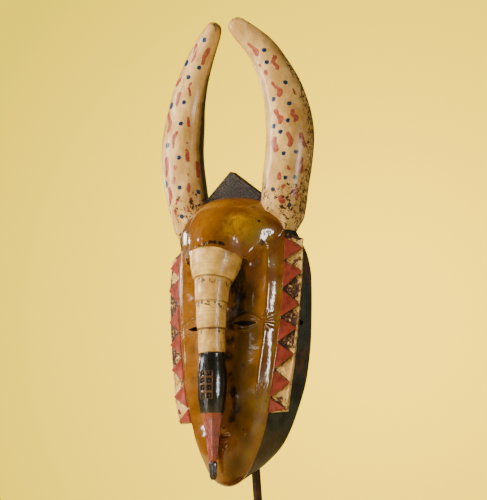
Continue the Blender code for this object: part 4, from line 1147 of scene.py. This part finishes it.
class MaskPaint(bpy.types.PropertyGroup):
    """Colours of the mask and its stand."""
    amber: tone("Amber", "Main colour of the varnished face", 0.27, 0.108, 0.0)
    amber_deep: tone("Deep amber", "Darker mottling of the face", 0.19, 0.066, 0.0)
    amber_dark: tone("Dark amber", "Brown grain of the face", 0.085, 0.032, 0.0)
    amber_light: tone("Light amber", "Bright patch on the forehead", 0.50, 0.27, 0.0)
    # Shaded amber is painted shade on the face's far cheek, chin and left strip.
    amber_shade: tone("Shaded amber", "Brown olive of the face's far cheek", 0.055, 0.031, 0.0)
    olive: tone("Olive", "Green cast of the face's far side", 0.29, 0.19, 0.002)
    bare: tone("Bare ground", "Pale ground where varnish has flaked", 0.62, 0.40, 0.16)
    red_ground: tone("Red ground", "Deep red-brown wood under the lost varnish", 0.075, 0.018, 0.006)
    # Grime is also part of the painted shade inside the eye slits and the tie holes.
    grime: tone("Grime", "Dark brown dirt in hollows and edges", 0.03, 0.013, 0.005)
    cream: tone("Cream", "Ground colour of the horns and fringes", 0.92, 0.66, 0.30)
    cream_pale: tone("Pale cream", "Ground colour of the beak", 0.98, 0.68, 0.22)
    tan: tone("Tan", "Stained areas of the horns and beak", 0.58, 0.34, 0.10)
    straw: tone("Straw", "Yellowed areas of the fringes", 0.60, 0.38, 0.11)
    horn_olive: tone("Horn olive", "Brown olive edge of the horns' dark band", 0.26, 0.155, 0.035)
    brown_stain: tone("Brown stain", "Thin brown staining and grain", 0.24, 0.11, 0.03)
    worn_brown: tone("Worn brown", "Where the paint is rubbed off", 0.045, 0.02, 0.01)
    brick: tone("Brick red", "Dabs, triangles and the beak's end", 0.33, 0.06, 0.042)
    brick_pale: tone("Pale brick red", "Thin paint in the dabs", 0.46, 0.115, 0.08)
    brick_deep: tone("Deep brick red", "Rubbed and shaded red", 0.19, 0.032, 0.024)
    blue: tone("Blue", "Dots on the horns", 0.009, 0.034, 0.14)
    # Black also paints, in part, the shadow beside the beak, and the shade inside the eye slits and tie holes.
    black: tone("Black", "Black part of the beak and old dirt", 0.006, 0.006, 0.006)
    # The rubbed lattice tone is also a painted highlight on the raised bars.
    lattice: tone("Rubbed lattice", "Bars of the beak's small grid", 0.10, 0.055, 0.03)
    tip_grey: tone("Tip grey", "Blunt end of the beak", 0.02, 0.014, 0.011)
    # Slate also darkens the horns' band, which is partly painted shade.
    slate: tone("Slate", "Blackened walls and crest", 0.014, 0.017, 0.02)
    slate_green: tone("Slate green", "Greenish areas of the walls", 0.034, 0.046, 0.056)
    crest_grey: tone("Crest grey", "Raised tooling of the crest", 0.062, 0.052, 0.056)
    rust: tone("Rust brown", "Rubbed patches of the walls and rod", 0.12, 0.048, 0.014)
    olive_brown: tone("Olive brown", "Lower part of the walls", 0.06, 0.042, 0.01)
    purple_brown: tone("Purple brown", "Bare wood of the fringes", 0.07, 0.033, 0.03)
    wood: tone("Wood", "Bare wood inside the mask", 0.21, 0.10, 0.04)
    wood_dark: tone("Dark wood", "Grain inside the mask", 0.08, 0.034, 0.014)
    steel: tone("Blackened steel", "Rod and base plate", 0.022, 0.016, 0.013)
    steel_light: tone("Rubbed steel", "Streaks on the rod and plate", 0.11, 0.085, 0.065)


class StageLook(bpy.types.PropertyGroup):
    """Studio floor, background and lights."""
    floor_size: FloatProperty(name="Floor size", description="Width of the floor", default=4.4, min=1.0,
                              subtype="DISTANCE", unit="LENGTH")
    floor_tone: tone("Floor", "Colour of the pale floor", 0.86, 0.76, 0.45)
    back_tone: tone("Background", "Colour of the background, times its brightness", 1.0, 0.635, 0.0)
    back_dim: tone("Background edge", "Colour of the background away from its bright middle", 0.46, 0.335, 0.0)
    back_bright: FloatProperty(name="Background brightness", description="Brightness of the background",
                               default=3.6, min=0.0)
    room_tone: tone("Room light", "Colour of the soft light from all round", 1.0, 0.8, 0.45)
    room_light: FloatProperty(name="Room light strength", description="Strength of the soft light from all round",
                              default=0.36, min=0.0)
    key_tone: tone("Key light", "Colour of the large light on the left", 1.0, 0.85, 0.62)
    key_power: FloatProperty(name="Key light power", description="Power of the large light on the left",
                             default=105.0, min=0.0, unit="POWER")
    sheen_power: FloatProperty(name="Front panel", description="Power of the panel that gives the soft highlights",
                               default=11.0, min=0.0, unit="POWER")
    high_power: FloatProperty(name="High panel", description="Power of the small panel above the front panel",
                              default=2.5, min=0.0, unit="POWER")
    left_power: FloatProperty(name="Left strip", description="Power of the upright strip on the left",
                              default=15.0, min=0.0, unit="POWER")
    side_power: FloatProperty(name="Side strip", description="Power of the tall strip on the right",
                              default=14.0, min=0.0, unit="POWER")
    edge_power: FloatProperty(name="Edge strip", description="Power of the strip behind on the left",
                              default=2.5, min=0.0, unit="POWER")


class MASK_OT_carve(bpy.types.Operator):
    """Carve and paint the mask in place of its plain solid"""
    bl_idname = "antelope_mask.carve"
    bl_label = "Carved mask"

    def execute(self, context):
        paint = context.scene.mask_paint
        for make in (amber_varnish, horn_paint, crest_paint, beak_paint, fringe_paint, triangle_paint,
                     wall_paint, raw_wood, painted_shade_in_cuts):
            make(paint)
        mask = make_head()
        horns = {side: make_horn(side) for side in (1, -1)}
        trees = {side: surface_of(horns[side]) for side in horns}
        added = [make_beak(), make_crest(), horns[1], horns[-1]]
        added += [make(side) for make in (make_fringe, make_triangles) for side in (1, -1)]
        cut = [make_hollow(), almond_cutter(1), almond_cutter(-1), tie_hole_cutter()]
        join_bodies(mask, added, cut)
        self.store_fields(mask, trees)
        mask.data.shade_smooth()
        mask.data.set_sharp_from_angle(angle=math.radians(38))
        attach(mask, "root")
        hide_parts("mask")
        print("carved mask:", len(mask.data.polygons), "faces")
        return {"FINISHED"}

    def store_fields(self, mask, trees):
        """Work out the numbers that the finishes read from the mesh."""
        mesh = mask.data
        flat = np.empty(len(mesh.vertices) * 3, dtype=np.float32)
        mesh.vertices.foreach_get("co", flat)
        points = flat.reshape(-1, 3).astype(float)
        red = np.full(len(points), 1.0)
        blue = np.full(len(points), 1.0)
        wear = np.zeros(len(points))
        band = np.zeros(len(points))
        for side, dabs, dots in ((1, RIGHT_DABS, RIGHT_DOTS), (-1, LEFT_DABS, LEFT_DOTS)):
            chosen = np.flatnonzero((points[:, 2] > 0.36) & (points[:, 0] * side > 0))
            near = points[chosen]
            strokes = placed_strokes(trees[side], dabs)
            spots = placed_strokes(trees[side], [[(x, y, DOT_RADIUS / PIXEL)] * 2 for x, y in dots])
            strokes += hidden_side(strokes, side, 2)
            spots += hidden_side(spots, side, 2)
            red[chosen] = stroke_distance(near, strokes)
            blue[chosen] = stroke_distance(near, spots)
            wear[chosen], band[chosen] = self.horn_wear(near, side)
        set_field(mesh, "red_gap", red)
        set_field(mesh, "blue_gap", blue)
        set_field(mesh, "wear", wear)
        set_field(mesh, "band", band)
        set_field(mesh, "foot", ease((HORN_FOOT_TOP - points[:, 2]) / 0.035))
        tree = surface_of(mask)
        for name, patches in (("yellow", YELLOW_PATCHES), ("olive", OLIVE_PATCHES), ("dark", SHADOW_AND_PATINA_PATCHES),
                              ("chips", CHIPS), ("shaded", PAINTED_SHADE_PATCHES), ("flaked", FLAKED_PATCHES),
                              ("rusty", RUSTY_PATCHES)):
            set_field(mesh, name, soft_patches(points, tree, patches, name == "rusty"))
        set_field(mesh, "low", ease((0.19 - points[:, 2]) / 0.05))
        places = np.linspace(0, 1, 600)
        shares = [smooth(places, [(s[0], s[k]) for s in BEAK_AXIS]) for k in (1, 2)]
        axis = np.stack([FACE_Y + FACE_HEIGHT * shares[0], CHIN_HEIGHT + FACE_HEIGHT * shares[1]], axis=-1)
        gaps = np.hypot(points[:, 1, None] - axis[None, :, 0], points[:, 2, None] - axis[None, :, 1])
        along = places[np.argmin(gaps, axis=1)]
        set_field(mesh, "beak_place", along)
        set_field(mesh, "beak_groove", sum(bell(along - at, 0.0035) for at in BEAK_RINGS))
        set_field(mesh, "beak_ring", sum(bell(along - at - 0.012, 0.018) for at in BEAK_RINGS))
        near_axis = axis[np.argmin(gaps, axis=1)]
        turned = np.arctan2(points[:, 0], near_axis[:, 0] - points[:, 1])
        inside = (np.abs(turned - LATTICE_TURN) < LATTICE_HALF_ANGLE) & (along > LATTICE_FROM) & (along < LATTICE_TO)
        set_field(mesh, "lattice", inside * (1 - lattice(turned, along)))
        self.store_fringe(mesh, points)

    def store_fringe(self, mesh, points):
        """Share across the fringe, how far a point lies outside the triangles, and where the paint is bare."""
        edge_t = np.linspace(FRINGE_FROM - 0.02, FRINGE_TO + 0.02, 400)
        length = FRINGE_TO - FRINGE_FROM
        out = np.zeros(len(points))
        along = np.zeros(len(points))
        for side in (1, -1):
            inner, outer, _ = fringe_frame(side, edge_t)
            chosen = np.flatnonzero((points[:, 0] * side > 0) & (np.abs(points[:, 0]) > 0.03))
            near = points[chosen]
            height = near[:, 2]
            inner_x = np.interp(height, inner[:, 2], inner[:, 0] * side)
            outer_x = np.interp(height, outer[:, 2], outer[:, 0] * side)
            out[chosen] = (near[:, 0] * side - inner_x) / (outer_x - inner_x)
            across = inner[:, 2] + (outer[:, 2] - inner[:, 2]) * 0.5
            along[chosen] = np.interp(height, across, (edge_t - FRINGE_FROM) / length)
        ends = [0.0] + [(a + b) / 2 for a, b in zip(TRIANGLE_APEXES, TRIANGLE_APEXES[1:])] + [TRIANGLE_END]
        stops = []
        for tip, below in zip(TRIANGLE_APEXES, ends):
            stops += [(below, 0.0), (tip, 1.0)]
        stops.append((TRIANGLE_END, 0.0))
        places, reach = np.array(stops).T
        set_field(mesh, "fringe_out", out)
        set_field(mesh, "from_triangle", out - np.interp(along, places, reach))
        bare = bell(along - 0.5, 0.2) + 0.9 * bell(along - 0.99, 0.05) - 0.7 * bell(along - 0.85, 0.07)
        bare += 0.6 * bell(along - 0.65, 0.3) * (points[:, 0] < 0)
        set_field(mesh, "fringe_bare", bare - 0.6 * bell(along - 0.2, 0.1))

    def horn_wear(self, points, side):
        """Flaking, from bells at the tip and foot and a rise along the outer back, and the dark band, a rise
        along the inner side of the left horn and along the outer back edge of the right one, the sides turned
        from the key light: the band is partly dark paint and partly painted shade."""
        places = np.linspace(0, 1, 120)
        axis = horn_axis(places) * np.array([side, 1, 1])
        nearest = np.argmin(np.linalg.norm(points[:, None] - axis[None], axis=2), axis=1)
        arm = points - axis[nearest]
        radius = smooth(places, HORN_RADII)[nearest] * HORN_THICKNESS / 2
        back = arm[:, 1] / radius
        outward = arm[:, 0] * side / radius
        along = places[nearest]
        tip = bell(along - 1.02, 0.045)
        edge = ease((back * 0.6 + outward * 0.75 - 0.22) / 0.6)
        inner = ease((-outward * 0.85 + back * 0.5 - 0.42) / 0.4)
        if side < 0:
            return 0.75 * tip + 0.35 * edge, inner
        flecks = 0.45 * bell(along - 0.20, 0.07) * ease(-outward * 1.2 + 0.4)
        outer = ease((back * 0.6 + outward * 0.8 - 0.78) / 0.22)
        return 0.6 * tip + 0.85 * edge + flecks, np.maximum(0.75 * outer, 0.45 * inner)


class MASK_OT_stand(bpy.types.Operator):
    """Give the rod and the base plate their blackened steel finish"""
    bl_idname = "antelope_mask.stand"
    bl_label = "Stand"

    def execute(self, context):
        paint = context.scene.mask_paint
        finishes = (("stand_rod", 0.6, (1, 1, 0.05)), ("stand_base", 0.25, (0.1, 1, 1)))
        for node, brown, streak in finishes:
            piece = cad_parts[node]
            material = blackened_steel(node + "_steel", paint, brown, streak)
            piece.data.materials.clear()
            piece.data.materials.append(material)
        return {"FINISHED"}


class MASK_OT_stage(bpy.types.Operator):
    """Make the pale floor, the background, the lights and the camera"""
    bl_idname = "antelope_mask.stage"
    bl_label = "Studio"

    def execute(self, context):
        look = context.scene.stage_look
        half = look.floor_size / 2
        mesh = bpy.data.meshes.new("floor")
        z = BASE_LOW.z - 0.0002
        mesh.from_pydata([(-half, -half, z), (half, -half, z), (half, half, z), (-half, half, z)], [], [(0, 1, 2, 3)])
        floor = bpy.data.objects.new("floor", mesh)
        context.scene.collection.objects.link(floor)
        f = Finish("floor_paper", 0.7)
        colour = f.mix(f.between(f.noise(0.8, 2), 0.3, 0.7, 0, 0.12), look.floor_tone, look.back_tone)
        mesh.materials.append(f.done(colour, 0.7, f.heights((f.noise(0.002, 2), 0.0001))))

        self.light_room(context, look)
        target = Vector((0, 0, (MASK_LOW.z + MASK_HIGH.z) / 2))
        neutral = (1.0, 0.97, 0.92)
        lights = (("key", -45, 35, 2.2, 1.2, 1.2, look.key_power, look.key_tone, True, False),
                  ("front_panel", -20, -7, 2.0, 0.3, 0.9, look.sheen_power, neutral, False, True),
                  ("high_panel", -28, 27, 2.0, 0.25, 0.25, look.high_power, neutral, False, True),
                  ("left_strip", -65, 20, 2.0, 0.2, 0.5, look.left_power, neutral, False, True),
                  ("side_strip", 75, 4, 2.0, 0.16, 0.5, look.side_power, neutral, False, True),
                  ("edge_strip", -113, 9, 2.0, 0.25, 0.2, look.edge_power, neutral, False, True))
        for name, turn, rise, far, width, height, power, colour, lights_paint, shows_in_gloss in lights:
            light = bpy.data.lights.new(name, "AREA")
            light.shape = "RECTANGLE"
            light.size = width
            light.size_y = height
            light.energy = power
            light.color = colour
            lamp = bpy.data.objects.new(name, light)
            context.scene.collection.objects.link(lamp)
            a, e = math.radians(turn), math.radians(rise)
            away = Vector((math.sin(a) * math.cos(e), -math.cos(a) * math.cos(e), math.sin(e)))
            lamp.location = target + away * far
            lamp.rotation_euler = away.to_track_quat("Z", "Y").to_euler()
            lamp.visible_diffuse = lights_paint
            lamp.visible_glossy = shows_in_gloss
            lamp.visible_camera = False

        camera = bpy.data.cameras.new("photo_camera")
        camera.lens = LENS
        camera.sensor_width = SENSOR
        camera.sensor_fit = "AUTO"
        eye = bpy.data.objects.new("photo_camera", camera)
        context.scene.collection.objects.link(eye)
        eye.matrix_world = camera_matrix()
        context.scene.camera = eye
        return {"FINISHED"}

    def light_room(self, context, look):
        """Background that the camera sees, brightest at its middle, and a weak soft light from all round,
        weaker still in reflections."""
        world = bpy.data.worlds.new("studio")
        context.scene.world = world
        world.use_nodes = True
        tree = world.node_tree
        room = tree.nodes["Background"]
        room.inputs["Color"].default_value = (*look.room_tone, 1)
        sight = tree.nodes.new("ShaderNodeLightPath")
        dimmed = tree.nodes.new("ShaderNodeMath")
        dimmed.operation = "MULTIPLY_ADD"
        dimmed.inputs[1].default_value = (ROOM_IN_GLOSS - 1) * look.room_light
        dimmed.inputs[2].default_value = look.room_light
        tree.links.new(sight.outputs["Is Glossy Ray"], dimmed.inputs[0])
        tree.links.new(dimmed.outputs["Value"], room.inputs["Strength"])
        back = tree.nodes.new("ShaderNodeBackground")
        back.inputs["Strength"].default_value = look.back_bright
        lie = tree.nodes.new("ShaderNodeTexCoord")
        away = tree.nodes.new("ShaderNodeVectorMath")
        away.operation = "DISTANCE"
        away.inputs[1].default_value = sight_line(*BACKGROUND_MIDDLE)[1]
        tree.links.new(lie.outputs["Generated"], away.inputs[0])
        fade = tree.nodes.new("ShaderNodeMapRange")
        fade.inputs["From Min"].default_value = BACKGROUND_FADE[0]
        fade.inputs["From Max"].default_value = BACKGROUND_FADE[1]
        tree.links.new(away.outputs["Value"], fade.inputs["Value"])
        colour = tree.nodes.new("ShaderNodeMix")
        colour.data_type = "RGBA"
        colour.inputs[6].default_value = (*look.back_tone, 1)
        colour.inputs[7].default_value = (*look.back_dim, 1)
        tree.links.new(fade.outputs["Result"], colour.inputs["Factor"])
        tree.links.new(colour.outputs[2], back.inputs["Color"])
        chosen = tree.nodes.new("ShaderNodeMixShader")
        tree.links.new(sight.outputs["Is Camera Ray"], chosen.inputs[0])
        tree.links.new(room.outputs["Background"], chosen.inputs[1])
        tree.links.new(back.outputs["Background"], chosen.inputs[2])
        tree.links.new(chosen.outputs["Shader"], tree.nodes["World Output"].inputs["Surface"])


class MASK_PT_panel(bpy.types.Panel):
    """Sidebar panel with the making steps"""
    bl_label = "Antelope mask"
    bl_idname = "MASK_PT_panel"
    bl_space_type = "VIEW_3D"
    bl_region_type = "UI"
    bl_category = "Mask"

    def draw(self, context):
        for operator in (MASK_OT_carve, MASK_OT_stand, MASK_OT_stage):
            self.layout.operator(operator.bl_idname)
        for group in (context.scene.mask_paint, context.scene.stage_look):
            for name in group.__annotations__:
                self.layout.prop(group, name)


CLASSES = (MaskPaint, StageLook, MASK_OT_carve, MASK_OT_stand, MASK_OT_stage, MASK_PT_panel)


def register():
    """Make the classes known to Blender and hang the settings on the scene."""
    for each in CLASSES:
        bpy.utils.register_class(each)
    bpy.types.Scene.mask_paint = PointerProperty(type=MaskPaint)
    bpy.types.Scene.stage_look = PointerProperty(type=StageLook)


def unregister():
    """Take the settings and classes away again."""
    del bpy.types.Scene.stage_look
    del bpy.types.Scene.mask_paint
    for each in reversed(CLASSES):
        bpy.utils.unregister_class(each)


def main():
    """Make every piece and the stage."""
    register()
    bpy.ops.antelope_mask.carve()
    bpy.ops.antelope_mask.stand()
    bpy.ops.antelope_mask.stage()


if __name__ == "__main__":
    main()
